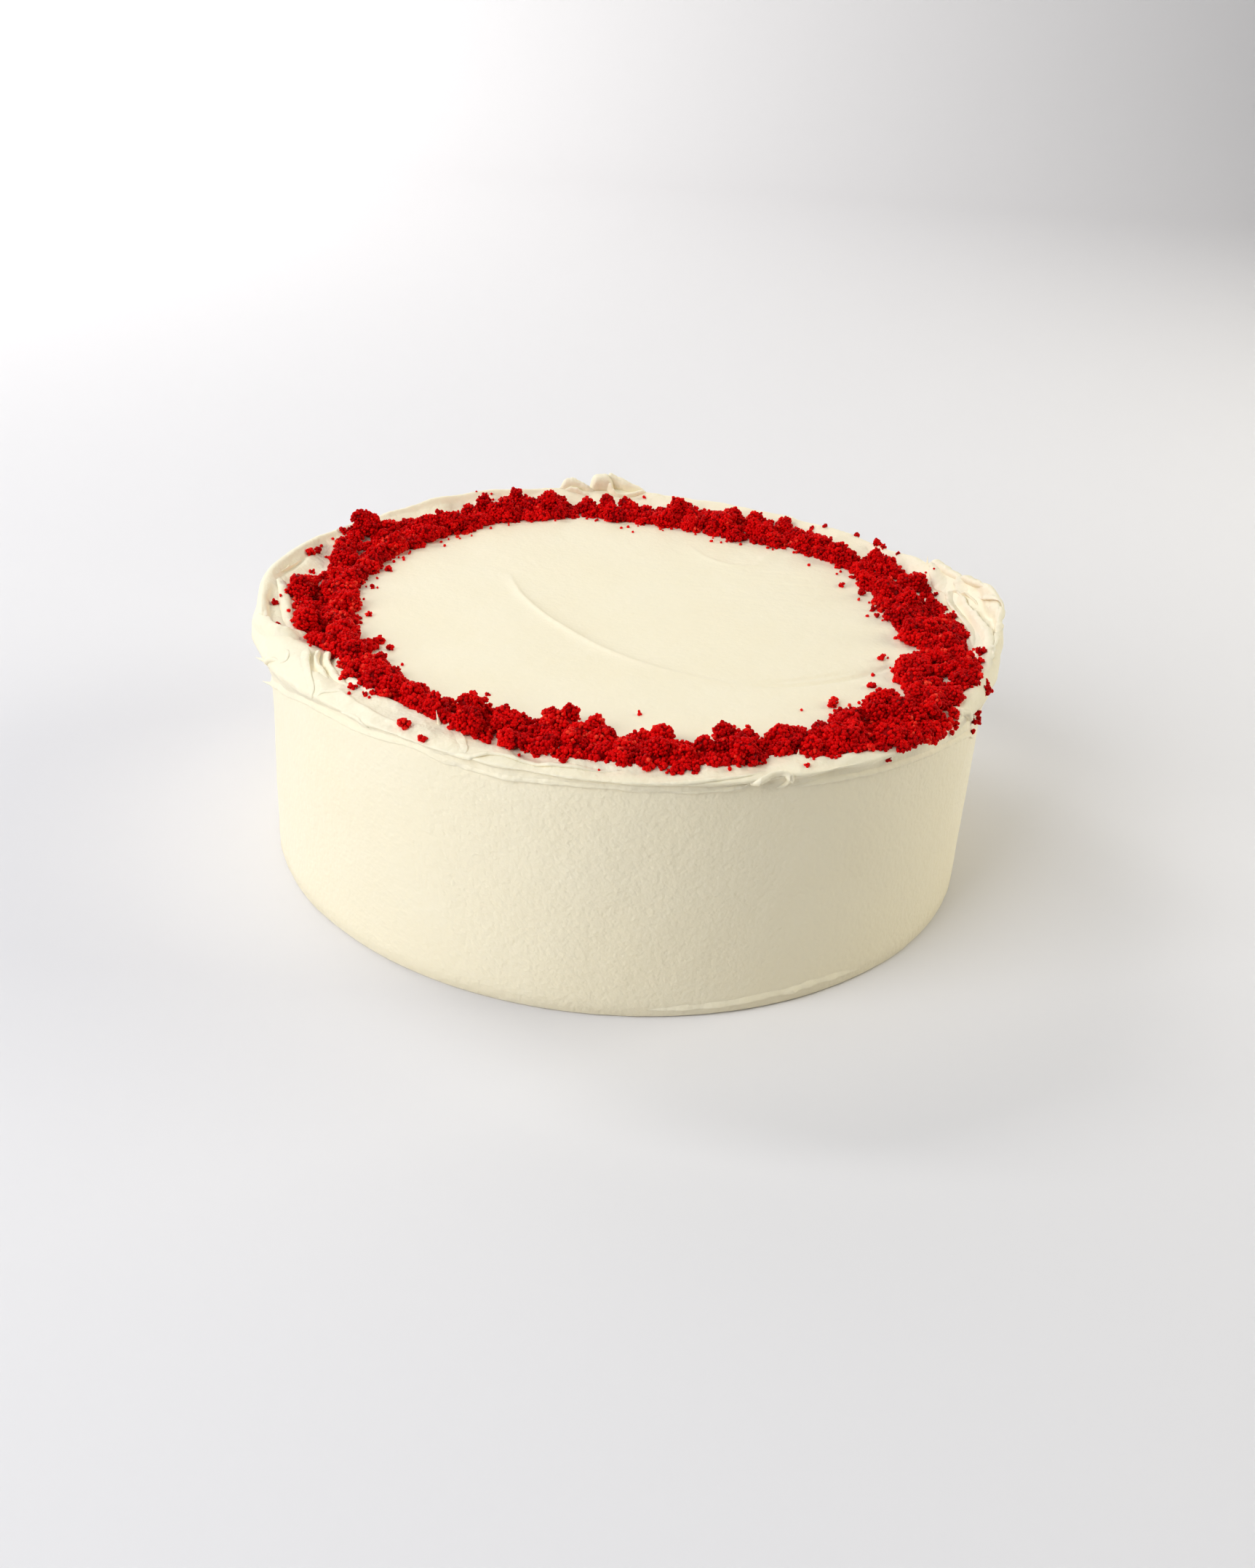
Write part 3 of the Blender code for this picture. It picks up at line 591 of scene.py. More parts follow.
# Rolls: (half width, path), with points as above.
ROLLS = (
    # Left: the inner band's rounded ridge, two rolls side by side, and a lump.
    (2.1, (
        (178.6, 0.69, 0.3), (181.0, 0.725, 0.9), (184.0, 0.775, 1.3), (187.5, 0.81, 1.4),
        (191.0, 0.83, 1.4), (195.0, 0.835, 1.3), (198.6, 0.82, 1.1), (201.6, 0.80, 0.5),
    )),
    (1.35, (
        (209.4, 0.77, 0.6), (210.8, 0.75, 2.0), (212.6, 0.73, 2.4), (214.4, 0.725, 2.2),
        (216.2, 0.735, 1.9), (218.0, 0.745, 1.4), (220.0, 0.75, 0.9), (222.4, 0.75, 0.3),
    )),
    (1.0, (
        (209.0, 0.70, 0.4), (210.4, 0.675, 1.4), (212.4, 0.65, 1.7), (214.6, 0.65, 1.5),
        (216.8, 0.67, 1.1), (219.0, 0.685, 0.4),
    )),
    (1.0, ((204.8, 0.33, 0.3), (205.9, 0.37, 1.0), (207.0, 0.405, 0.9), (208.4, 0.43, 0.3))),
    # Right: the leaf's and the second petal's thick outer edges, a ruffle, and a lobe.
    (1.4, (
        (386.6, 0.54, 0.5), (385.2, 0.555, 2.6), (383.4, 0.565, 2.6), (381.2, 0.58, 2.1),
        (379.0, 0.595, 1.5), (377.2, 0.62, 1.0), (375.4, 0.66, 0.4),
    )),
    (1.3, (
        (378.0, 0.60, 0.5), (376.8, 0.61, 2.0), (375.0, 0.62, 1.9), (372.6, 0.625, 1.4),
        (370.4, 0.63, 0.5),
    )),
    (0.5, (
        (376.2, 0.77, 0.3), (375.0, 0.742, 1.1), (373.8, 0.738, 0.8), (372.4, 0.73, 1.2),
        (371.0, 0.728, 0.7), (369.6, 0.73, 0.9), (368.4, 0.735, 0.3),
    )),
    (1.2, (
        (325.0, 0.40, 0.3), (326.6, 0.44, 1.2), (328.0, 0.455, 1.6), (329.4, 0.41, 1.5),
        (330.8, 0.30, 1.1), (332.0, 0.18, 0.4),
    )),
    # Front: the hook.
    (0.75, (
        (284.6, 0.08, 0.2), (286.8, 0.12, 0.6), (287.8, 0.30, 1.0), (290.0, 0.43, 1.3),
        (292.0, 0.44, 1.5), (293.1, 0.34, 1.5), (293.3, 0.20, 1.4), (292.8, 0.09, 1.0),
        (291.4, 0.055, 0.4),
    )),
    # Back: the tall curl, its thin right half with a rolled foot, and the small curl beside it.
    (1.9, (
        (100.0, 0.61, 0.8), (99.0, 0.61, 4.6), (97.8, 0.61, 5.6), (96.6, 0.61, 5.5), (95.7, 0.62, 3.6),
        (95.0, 0.63, 1.0),
    )),
    (0.8, (
        (97.4, 0.57, 4.0), (96.0, 0.56, 5.6), (94.4, 0.555, 5.0), (92.6, 0.56, 3.6), (90.8, 0.57, 2.2),
        (88.8, 0.58, 0.5),
    )),
    (0.8, (
        (96.6, 0.64, 5.0), (96.0, 0.67, 3.6), (95.4, 0.70, 2.0), (94.2, 0.72, 1.3), (92.6, 0.71, 1.2),
        (91.0, 0.68, 1.3), (89.8, 0.64, 1.2), (88.8, 0.60, 0.4),
    )),
    (1.0, (
        (105.8, 0.58, 0.8), (104.6, 0.58, 3.6), (103.4, 0.585, 4.2), (101.8, 0.61, 3.2),
        (100.2, 0.65, 1.6), (98.8, 0.68, 0.4),
    )),
    (0.8, (
        (104.8, 0.63, 1.2), (103.6, 0.65, 1.8), (102.2, 0.68, 1.4), (100.8, 0.71, 0.8),
        (99.6, 0.74, 0.3),
    )),
)

# Torn points: (angle, place, length, radius at the root, direction as outward, round and up).
POINTS = (
    (203.2, 0.34, 2.6, 0.8, (1.0, -0.5, 0.1)),
    (196.5, 0.06, 3.6, 1.0, (1.0, -0.4, 0.0)),
    (241.5, 0.77, 3.8, 0.7, (0.2, -0.3, 1.0)),
    (291.5, 0.80, 1.8, 0.6, (0.0, 0.1, 1.0)),
    (296.2, 0.70, 1.5, 0.6, (0.1, -0.2, 1.0)),
    (26.8, 0.58, 2.6, 0.5, (0.0, 0.3, 1.0)),
    (174.8, 0.68, 1.4, 0.5, (-0.3, 0.5, 1.0)),
    (298.0, -0.95, 1.3, 0.6, (1.0, 0.2, 0.1)),
)
POINT_ROWS = 9
POINT_SIDES = 10
POINT_BEND = 0.25                       # how far a point's tip droops, as a share of its length
POINT_TAPER = 1.4
POINT_TIP = 0.06                        # the tip's radius, as a share of the root's


def row_at(place):
    """Row of the side's grid at each place, as the wall's rows and the rim's are laid out."""
    on_wall = (1.0 - np.sqrt(np.maximum(-place, 0.0))) * WALL_ROWS
    return np.where(place < 0.0, on_wall, WALL_ROWS + place * (RIM_ROWS - 1))


def on_side(angle, row):
    """Point of the finished side at each pair of angle and row, read between the four nearest
    points of its grid."""
    column = np.interp(angle % 360.0, SIDE_ANGLES, np.arange(SIDE_COLUMNS + 1))
    row = np.clip(row, 0.4, len(SIDE_GRID) - 1.5)
    low, left = row.astype(int), column.astype(int) % SIDE_COLUMNS
    up, round_it = (row - low)[..., None], (column % 1.0)[..., None]
    right = (left + 1) % SIDE_COLUMNS
    below = SIDE_GRID[low, left] * (1.0 - round_it) + SIDE_GRID[low, right] * round_it
    above = SIDE_GRID[low + 1, left] * (1.0 - round_it) + SIDE_GRID[low + 1, right] * round_it
    return below * (1.0 - up) + above * up


def side_slopes(angle, row):
    """How the finished side's point moves with each degree, and its directions up the side and
    outward, which is square to both."""
    per_angle = on_side(angle + 0.4, row) - on_side(angle - 0.4, row)
    upward = on_side(angle, row + 1.5) - on_side(angle, row - 1.5)
    upward /= np.linalg.norm(upward, axis=-1, keepdims=True)
    outward = np.cross(per_angle, upward)
    return per_angle / 0.8, upward, outward / np.linalg.norm(outward, axis=-1, keepdims=True)


def rows_further(angle, row, length):
    """Row of the grid at each signed length up the side from a row, one line of lengths for each
    angle: the running length of the nearest column, read backwards."""
    column = np.rint(np.interp(angle % 360.0, SIDE_ANGLES, np.arange(SIDE_COLUMNS + 1))).astype(int)
    run = SIDE_RUN[:, column % SIDE_COLUMNS]
    low = np.clip(row.astype(int), 0, len(SIDE_RUN) - 2)
    here = np.arange(len(row))
    start = run[low, here] + (row - low) * (run[low + 1, here] - run[low, here])
    wanted = start[:, None] + length
    found = np.clip((run[:, :, None] <= wanted).sum(axis=0) - 1, 0, len(SIDE_RUN) - 2)
    below, above = (run[found + k, here[:, None]] for k in (0, 1))
    return found + np.clip((wanted - below) / (above - below), 0.0, 1.0)


def fold_path(path, seed):
    """Angle, row, height, fade and raggedness at even steps of a spline through a fold's path. The
    fade goes from 0 at both ends to 1, as a quarter of a sine wave."""
    knots = np.array(path, float)
    ends = np.vstack((2 * knots[0] - knots[1], knots, 2 * knots[-1] - knots[-2]))
    share = np.linspace(0.0, 1.0, FOLD_STEPS * (len(path) - 1) + 1)
    angle, place, height = spline(ends, share).T
    fade = np.sin(0.5 * math.pi * np.clip(np.minimum(share, 1.0 - share) * (len(path) - 1), 0.05, 1.0))
    along = np.stack((MM_PER_DEGREE * angle, RIM_LENGTH * place, 0.0 * angle), axis=-1)
    ragged = (uneven(along, RAGGED_LONG, seed + 2) + uneven(along, RAGGED_MEDIUM, seed)
              + uneven(along, RAGGED_SHORT, seed + 1))
    return angle, row_at(place), height + FOLD_RAGGED * ragged * np.minimum(height, 1.0), fade, ragged


def fold_points(angle, row, across, above):
    """Rows of points of a fold. Each section's points lie a distance to the left of the path, along
    the side, and a distance above it, along the side's outward direction. The part of the distance
    to the left that runs round the cake changes the angle, and the part up the side the row."""
    per_angle, upward, outward = side_slopes(angle, row)
    left = np.cross(outward, np.gradient(on_side(angle, row), axis=0))
    left /= np.linalg.norm(left, axis=-1, keepdims=True)
    round_it = (left * per_angle).sum(-1) / (per_angle**2).sum(-1)
    up_it = (left * upward).sum(-1)
    row = rows_further(angle, row, across * up_it[:, None])
    angle = angle[:, None] + across * round_it[:, None]
    return on_side(angle, row) + above[..., None] * side_slopes(angle, row)[2]


def lip_rows(width, thickness, over, path, seed):
    """A lip: its section rises in an S-curve from the gentle side to the edge, rounds the edge in a
    half circle, and returns underneath."""
    angle, row, height, fade, ragged = fold_path(path, seed)
    height, fade, ragged = (v[:, None] for v in (height, fade, ragged))
    rise = np.linspace(0.0, 1.0, LIP_RISE_POINTS)
    radius = 0.5 * np.minimum(thickness, height + FOLD_SUNK) * fade
    edge = np.radians(np.linspace(90.0, -90.0, LIP_EDGE_POINTS))
    beyond = over * fade * (1.0 + 2.0 * FOLD_RAGGED * ragged)
    high = height * fade
    across = np.concatenate((-width * (0.4 + 0.6 * fade) * (1.0 - rise), beyond + radius * np.cos(edge),
                             0.0 * high, -0.5 * width * fade), axis=1)
    above = np.concatenate(((high + FOLD_SUNK) * rise**2 * (3.0 - 2.0 * rise) - FOLD_SUNK,
                            high - radius + radius * np.sin(edge),
                            0.0 * high - FOLD_SUNK, 0.0 * high - 1.2 * FOLD_SUNK), axis=1)
    return fold_points(angle, row, across, above)[:, ::-1]


def roll_rows(half_width, path, seed):
    """A roll: its section is half an ellipse that stands on its flat side."""
    angle, row, height, fade, _ = fold_path(path, seed)
    turn = np.radians(np.linspace(180.0, 0.0, ROLL_POINTS))
    fade = fade[:, None]
    across = np.concatenate((half_width * (0.3 + 0.7 * fade) * np.cos(turn), 0.4 * half_width * fade,
                             -0.4 * half_width * fade), axis=1)
    above = (height[:, None] * fade + FOLD_SUNK) * np.sin(turn) - FOLD_SUNK
    above = np.concatenate((above, 0.0 * fade - 1.3 * FOLD_SUNK, 0.0 * fade - 1.3 * FOLD_SUNK), axis=1)
    return fold_points(angle, row, across, above)[:, ::-1]


def point_rows(angle, place, length, radius, direction):
    """A torn point: rings round a line that leaves the side in that direction and droops, with a
    radius that shrinks to a fine tip."""
    turn = math.radians(angle)
    outward = np.array((math.cos(turn), math.sin(turn), 0.0))
    round_it = np.array((-math.sin(turn), math.cos(turn), 0.0))
    ahead = direction[0] * outward + direction[1] * round_it + direction[2] * np.array((0.0, 0.0, 1.0))
    ahead /= np.linalg.norm(ahead)
    aside = np.cross(ahead, (0.3, 0.2, 1.0) if abs(ahead[2]) < 0.8 else (1.0, 0.3, 0.0))
    aside /= np.linalg.norm(aside)
    other = np.cross(ahead, aside)
    share = np.linspace(0.0, 1.0, POINT_ROWS)[:, None]
    line = on_side(np.array([float(angle)]), row_at(np.array([place]))) - 0.8 * radius * ahead
    bend = POINT_BEND * share**2 * (0.5 * aside - 0.5 * other)
    line = line + (length + 0.8 * radius) * (share * ahead + bend)
    ring = np.linspace(0.0, math.tau, POINT_SIDES, endpoint=False)
    size = radius * ((1.0 - share) ** POINT_TAPER + POINT_TIP)
    return (line[:, None] + (size * np.cos(ring))[..., None] * aside
            + (size * np.sin(ring))[..., None] * other)


def folds_mesh():
    """All the folds as one mesh of closed shapes."""
    shapes = [lip_rows(*lip, seed) for seed, lip in enumerate(LIPS)]
    shapes += [roll_rows(*roll, seed + 100) for seed, roll in enumerate(ROLLS)]
    shapes += [point_rows(*point) for point in POINTS]
    points, corners, sizes, done = [], [], [], 0
    for rows in shapes:
        ends = rows[:1].mean(axis=1), rows[-1:].mean(axis=1)
        points.append(np.concatenate((rows.reshape(-1, 3), *ends)))
        shape_corners, shape_sizes = grid_faces(*rows.shape[:2])
        corners.append(shape_corners + done)
        sizes.append(shape_sizes)
        done += len(points[-1])
    return mesh_from("frosting_folds", np.concatenate(points) * MM, np.concatenate(corners),
                     np.concatenate(sizes))


SIDE_GRID = side_rows[2:2 + WALL_ROWS + RIM_ROWS]
SIDE_ANGLES = np.append(side_columns(), 360.0)
SIDE_RUN = np.cumsum(np.linalg.norm(np.diff(SIDE_GRID, axis=0, prepend=SIDE_GRID[:1]), axis=-1), axis=0)
folds = folds_mesh()
folds.data.materials.append(frosting)
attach(folds, "root")
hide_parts("frosted_cake")


# The frosting's smooth top. The same frosting, levelled by the spatula held flat while the
# turntable turns. Lifting it left one long spiral ridge, a smaller lobe behind it, and faint
# brush lines at the right. The crumb ring hides where it meets the rim.
# Ridges: (width of the gentle side, width of the steep side, how far the top sinks beyond the steep
# side, path). The path is a few (x, y, height) points, and its left is the steep side.
RIDGES = (
    (1.4, 1.25, 0.8, (
        (-41.0, 24.1, 0.2), (-38.8, 15.9, 0.6), (-33.8, 3.8, 0.9), (-23.0, -14.0, 1.15),
        (-3.6, -34.7, 1.15), (14.4, -44.7, 0.9), (32.0, -48.8, 0.1), (49.8, -46.0, -1.0),
        (68.2, -37.5, -1.1), (80.2, -27.5, -0.9),
    )),
    (0.8, 0.7, 0.0, (
        (36.0, -46.8, 0.0), (49.0, -43.2, -0.4), (60.0, -38.4, -0.45), (72.0, -32.2, 0.0),
    )),
    (1.8, 1.0, 0.6, (
        (17.4, 68.0, 0.0), (22.6, 57.0, 0.4), (28.8, 50.2, 0.7), (34.9, 47.7, 0.7), (40.2, 49.2, 0.3),
    )),
    (1.8, 1.0, 0.6, (
        (42.3, 49.9, 0.1), (45.8, 59.4, 0.5), (51.5, 66.5, 0.7), (57.0, 68.8, 0.7), (62.1, 66.1, 0.5),
        (67.1, 61.1, 0.0),
    )),
)
RIDGE_STEPS = 12                        # between two points of a path
RIDGE_SPACING = 1.0                     # half the distance between two steps
RIDGE_ROUNDING = 0.3
SINK_REACH = 12.0                       # length over which the top sinks beyond a ridge
SINK_END = 26.0                         # and over which it comes back up
TOP_RADIUS = 97.0
TOP_EDGE = 2.5                          # how far its edge turns down
TOP_UNDERSIDE = TOP_HEIGHT - SHELF_DROP - 1.0
TOP_ROWS = 156
TOP_COLUMNS = 600
TOP_SWELLS = (0.10, 30.0)               # unevenness, as on the side
TOP_DIMPLES = (0.03, 5.0)
BRUSH_LINES = (0.05, 3.0)
BRUSHED_X, BRUSHED_Y = 45.0, 30.0       # the middle of the brushed patch, and its size
BRUSHED_WIDTH, BRUSHED_DEPTH = 38.0, 34.0
TOP_PEEL_DEPTH = 0.24                   # the levelled top is smoother than the side
TOP_PORE_DEPTH = 0.09


def ridge_relief(x, y, gentle, steep, sink, path):
    """Height of one ridge: a crest along a spline, with slopes that die out exponentially on each
    side, and beyond the steep side a slow exponential fall, which a bell curve ends further on."""
    knots = np.array(path)
    ends = np.vstack((2 * knots[0] - knots[1], knots, 2 * knots[-1] - knots[-2]))
    line = spline(ends, np.linspace(0.0, 1.0, RIDGE_STEPS * (len(path) - 1)))
    ahead = np.gradient(line[:, :2], axis=0)
    ahead /= np.linalg.norm(ahead, axis=1, keepdims=True)
    gap = np.stack((x, y), axis=-1)[..., None, :] - line[:, :2]
    nearest = (gap**2).sum(-1).argmin(-1)
    gap = np.take_along_axis(gap, nearest[..., None, None], axis=-2)[..., 0, :]
    here = ahead[nearest]
    left = here[..., 0] * gap[..., 1] - here[..., 1] * gap[..., 0]
    beyond = np.maximum(np.abs((here * gap).sum(-1)) - RIDGE_SPACING, 0.0)
    away = np.sqrt(left**2 + RIDGE_ROUNDING**2) - RIDGE_ROUNDING
    height = line[nearest, 2] * np.exp(-((beyond / gentle) ** 2))
    inward = np.maximum(left, 0.0)
    fall = sink * (1.0 - np.exp(-inward / SINK_REACH)) * np.exp(-((inward / SINK_END) ** 2))
    return height * np.exp(-away / np.where(left > 0.0, steep, gentle)) - np.maximum(height, 0.0) * fall


def top_points():
    """Rows of points from under the top's edge, round it and in towards the centre."""
    angle = np.arange(TOP_COLUMNS) * math.tau / TOP_COLUMNS
    share = np.linspace(1.0, 0.0, TOP_ROWS + 1)[:-1, None]
    radius = TOP_RADIUS * share
    x = radius * np.cos(angle)
    y = radius * np.sin(angle)
    flat = np.stack((x, y, TOP_HEIGHT + 0.0 * x), axis=-1)
    brushed = flat * np.array((0.10, 1.0, 1.0)) @ np.array(((0.8, 0.6, 0), (-0.6, 0.8, 0), (0, 0, 1.0)))
    upper_right = np.exp(-(((x - BRUSHED_X) / BRUSHED_WIDTH) ** 2)
                         - ((y - BRUSHED_Y) / BRUSHED_DEPTH) ** 2)
    height = sum(ridge_relief(x, y, *ridge) for ridge in RIDGES) + uneven(flat, TOP_SWELLS, 21)
    height += uneven(flat, TOP_DIMPLES, 22) + upper_right * uneven(brushed, BRUSH_LINES, 23)
    rows = flat.copy()
    rows[..., 2] += height
    rounding = np.clip((radius - (TOP_RADIUS - TOP_EDGE)) / TOP_EDGE, 0.0, 1.0)
    rows[..., 2] -= TOP_EDGE * rounding**2
    under = rows[0].copy()
    under[:, 2] = TOP_UNDERSIDE
    inner = under.copy()
    inner[:, :2] *= 0.5
    return np.concatenate((inner[None], under[None], rows))


levelled = cream_cheese_frosting("levelled_cream_cheese_frosting", TOP_PEEL_DEPTH, TOP_PORE_DEPTH)
top = grid_mesh("frosting_top", top_points(), (0.0, 0.0, TOP_UNDERSIDE), (0.0, 0.0, TOP_HEIGHT))
top.data.materials.append(levelled)
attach(top, "root")
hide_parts("frosted_cake")


# The red velvet crumbs. Offcuts of the sponge, rubbed between the fingers and dropped in a ring, so
# they lie as craggy lumps of grains a millimetre across, with dark gaps between the lumps. The
# largest lumps follow the same seeded rule as the solid's, and smaller ones fill the ring. The dark
# cores under the grains are painted shade for the gaps between grains.
CRUMB_INNER_RADIUS = 87.5
CRUMB_OUTER_RADIUS = 105.0
CRUMB_BED_HEIGHT = 2.6
INNER_CHANGES = (
    (1, 4, 2.0), (12, 10, -5.5), (40, 8, 3.0), (70, 16, -6.5), (96, 5, -2.0), (103, 5, 3.5),
    (122, 5, 3.0), (206, 7, 2.0), (227, 4, 3.0), (235.5, 4, 9.0), (257, 8, -2.5), (261, 4, -1.0),
    (269, 3, 5.0), (282, 5, 9.5), (294, 3, 5.0), (303, 7, 6.0), (326, 7, 10.0), (338, 5, -2.0),
    (350, 5, 6.0), (357, 4, -5.0),
)
OUTER_CHANGES = (
    (2, 5, 1.5), (20, 6, 1.5), (43, 6, -7.5), (61, 5, 2.5), (72, 6, -3.5), (93, 8, -8.0),
    (104, 6, -1.5), (114, 6, 2.0), (132, 5, -6.5), (142, 6, -2.0), (153, 8, 6.0), (171, 5, -4.0),
    (181, 7, 3.0), (212, 7, -6.5), (233, 5, -6.0), (243, 5, -1.5), (277, 14, 4.0), (292, 3, -2.0),
    (303, 5, 2.5), (316, 13, 7.5), (328, 6, 2.0), (340, 8, 5.0),
)
BED_CHANGES = (
    (318, 16, 1.4), (150, 14, 1.0), (255, 12, 0.6), (225, 9, -0.8), (82, 20, -0.5), (295, 8, -0.7),
)
LUMPS = ((46, 3.4, 4.3), (46, 2.6, 3.3), (31, 1.9, 2.5))  # (how many, smallest and largest radius)
LUMP_TRIES = 24
LUMP_SPREAD = (1.45, 1.45, 0.8)
LUMP_SUNK = 0.12
LUMP_SEED = 7
LUMP_CORE = 0.74                        # share of a lump's size inside the knobs that cover it
CARPET = 1500                           # small clusters, spread evenly, that cover the bed
CARPET_RADIUS = (0.9, 1.4)
CARPET_STEPS = (0.7548776662, 0.5698402910)  # powers of 1 over the plastic number spread evenly
CARPET_JITTER = 0.5                     # degrees
CARPET_SUNK = 0.5                       # the deepest that one sinks, as a share of its size
KNOBS = 640                             # knobs on the bed and the lumps, spread at random
KNOB_PLACE = (0.03, 0.97)               # shares of the way across the ring
KNOB_RADIUS = (1.1, 2.7)
KNOB_SKEW = 1.6                         # small knobs are commoner than large ones
KNOB_LIFT = (-0.5, 0.6)                 # over what it lies on, as a share of its size
SPROUTS = 2200                          # small clusters that stick out of the knobs
SPROUT_RADIUS = (0.3, 0.8)
SPROUT_REACH = (0.95, 1.35)             # from its knob's middle, as a share of the knob's size
LUMP_BED, KNOB_BED, CARPET_BED = 0.7, 0.4, 0.35  # share of the bed's height that each lies at
# A ball's three radii, as shares of its size.
KNOB_STRETCH, SPROUT_STRETCH = (0.8, 1.15), (0.8, 1.2)
CARPET_STRETCH, LOOSE_STRETCH = (0.85, 1.2), (0.8, 1.2)
LOOSE_LIFT, STUCK_LIFT = 0.7, 0.5       # of a loose crumb over the top and the side, as such a share
RAGGED_EDGES = (1.5, 0.8)               # how far the ring's inner and outer edges wander in and out
WANDER_CIRCLE = 60.0                    # radius of the circle that their waves are read on
WANDER_LONG, WANDER_SHORT = (1.0, 9.0), (0.6, 3.6)
WANDER_WAVES = 12
CORE_SHARE = 0.95                       # how far out the core under the grains reaches; its dark tone is painted shade in the gaps
# The cores' dark tones are painted shade that shows in the gaps between grains.
CORE_SHADE_TONE = 0.12
CORE_ROUGHNESS = 0.10
GRAIN_RADIUS = (0.38, 0.70)
GRAIN_SKEW = (0.85, 1.2)
GRAIN_ROUGHNESS = 0.18
GRAIN_TONES = (0.15, 0.38, 0.49)        # the least tone, a grain's own share and its ball's share
GRAIN_SPACING = 0.82
GRAINS_DRAWN = 2.4                      # for each one that there is room for
GRAIN_DEPTH = (0.90, 1.16)              # distance from its ball's middle, as a share of the radius
GRAIN_CELL = 0.69                       # side of the cells that hold one grain each
UNDERSIDE = -0.75                       # a place that faces further down than this gets no grain
BALLS_AT_ONCE = 40                      # compared with all the places, to save memory
BURIED = 0.80                           # a grain this far inside another ball, squared, is left out
SECTORS = 5
DUST = 170                              # single grains near the ring's edges
DUST_GAP = (2.2, 0.8)                   # mean and least distance from the edge
DUST_OUTSIDE = 0.3                      # share of them that lies outside the ring
DUST_TONE = 0.8
DUST_LIFT = 0.3
DUST_MARGIN, RING_MARGIN = 2.0, 0.5     # the least distance of both from the wall's face

# Crumbs that fell clear of the ring: (angle, distance from the axis, radius), then those that
# stick to the side: (angle, place, radius).
LOOSE_ON_TOP = (
    (188, 112, 0.7), (198, 111, 0.6), (172, 106, 0.7), (166.5, 111, 1.1), (164.5, 110, 0.9),
    (196, 106, 0.8), (192, 83, 0.7), (176, 84, 0.6), (165, 84, 0.8), (206, 83, 1.1), (210, 82, 0.8),
    (240, 78, 0.5), (224, 106, 0.8), (227, 106, 0.6), (238, 111, 1.3), (242, 113, 0.8), (273, 74, 0.45),
    (262, 109, 0.6), (279, 109, 0.8), (296, 112, 0.5), (316, 83, 1.0), (314.5, 84.5, 1.0),
    (328, 85, 0.8), (40, 112, 1.1), (38, 111, 0.8), (34, 111, 0.5), (18, 107, 0.7), (21, 82, 0.8),
    (11, 80, 0.7), (7, 80, 0.6), (343, 81, 0.8), (334, 82, 0.5), (350, 110, 1.2), (346.5, 110, 0.9),
    (89, 109, 0.4), (54, 108, 0.5), (52, 111, 0.6), (45, 112, 0.6), (37, 88, 0.8), (27, 79, 0.8),
)
LOOSE_ON_SIDE = (
    (336.2, 0.11, 0.9), (337.0, 0.22, 0.8), (336.4, 0.02, 0.6), (338.6, 0.12, 0.7), (340.4, 0.06, 0.6),
    (344.2, 0.0, 0.5), (341.8, 0.46, 0.6), (339.2, 0.44, 0.8), (338.4, 0.40, 0.5), (343.0, 0.33, 0.5),
    (326.0, 0.15, 0.7), (310.0, 0.12, 0.6),
)
# Crumbs that spilled over the rim's outer edge: how many, the middle and spread of their angles, the
# range of their places and of their radii.
SPILLED = 80
SPILL_ANGLE = (316.5, 4.2)
SPILL_PLACE = (0.36, 0.66)
SPILL_RADIUS = (0.6, 1.5)


def crumb_ring(angle):
    """Inner and outer radius of the crumb ring and its bed's height at each angle."""
    inner = varied(CRUMB_INNER_RADIUS, INNER_CHANGES, angle)
    outer = varied(CRUMB_OUTER_RADIUS, OUTER_CHANGES, angle)
    return inner, outer, varied(CRUMB_BED_HEIGHT, BED_CHANGES, angle)


def bed_relief(angle, radius):
    """Height of the crumb bed over the frosting: a low arch between the ring's two edges."""
    inner, outer, height = crumb_ring(angle)
    place = np.clip((radius - inner) / (outer - inner), 0.0, 1.0)
    return height * np.sqrt(np.sin(math.pi * place))


def polar(angle, radius, height):
    """Points at those angles in degrees, distances from the axis and heights."""
    turn = np.radians(angle)
    return np.stack(np.broadcast_arrays(radius * np.cos(turn), radius * np.sin(turn), height), axis=-1)


def height_table():
    """Height of the frosting under each of the table's angles and radii: the highest place where a
    ray from above meets the side or the top."""
    bpy.context.view_layer.update()
    down = Vector((0.0, 0.0, -1.0))
    table = np.full((len(TABLE_ANGLES), len(TABLE_RADII)), TOP_HEIGHT - 20.0)
    for row, angle in enumerate(TABLE_ANGLES):
        for column, start in enumerate(polar(angle, TABLE_RADII, TOP_HEIGHT + 20.0)):
            for surface in (side, folds, top):
                met, place, _, _ = surface.ray_cast(Vector(start * MM), down)
                if met:
                    table[row, column] = max(table[row, column], place.z / MM)
    return table


def frosting_height(angle, radius):
    """Height of the frosting at each pair of angle and radius, read from the table between its
    four nearest entries."""
    row = (np.asarray(angle) % 360.0) / TABLE_STEP
    column = np.clip((np.asarray(radius) - TABLE_RADII[0]) / (TABLE_RADII[1] - TABLE_RADII[0]),
                     0.0, len(TABLE_RADII) - 1.001)
    low_row = row.astype(int) % len(TABLE_ANGLES)
    high_row = (low_row + 1) % len(TABLE_ANGLES)
    low = column.astype(int)
    part_row = row - np.floor(row)
    part = column - low
    near = HEIGHT_TABLE[low_row, low] * (1.0 - part) + HEIGHT_TABLE[low_row, low + 1] * part
    far = HEIGHT_TABLE[high_row, low] * (1.0 - part) + HEIGHT_TABLE[high_row, low + 1] * part
    return near * (1.0 - part_row) + far * part_row


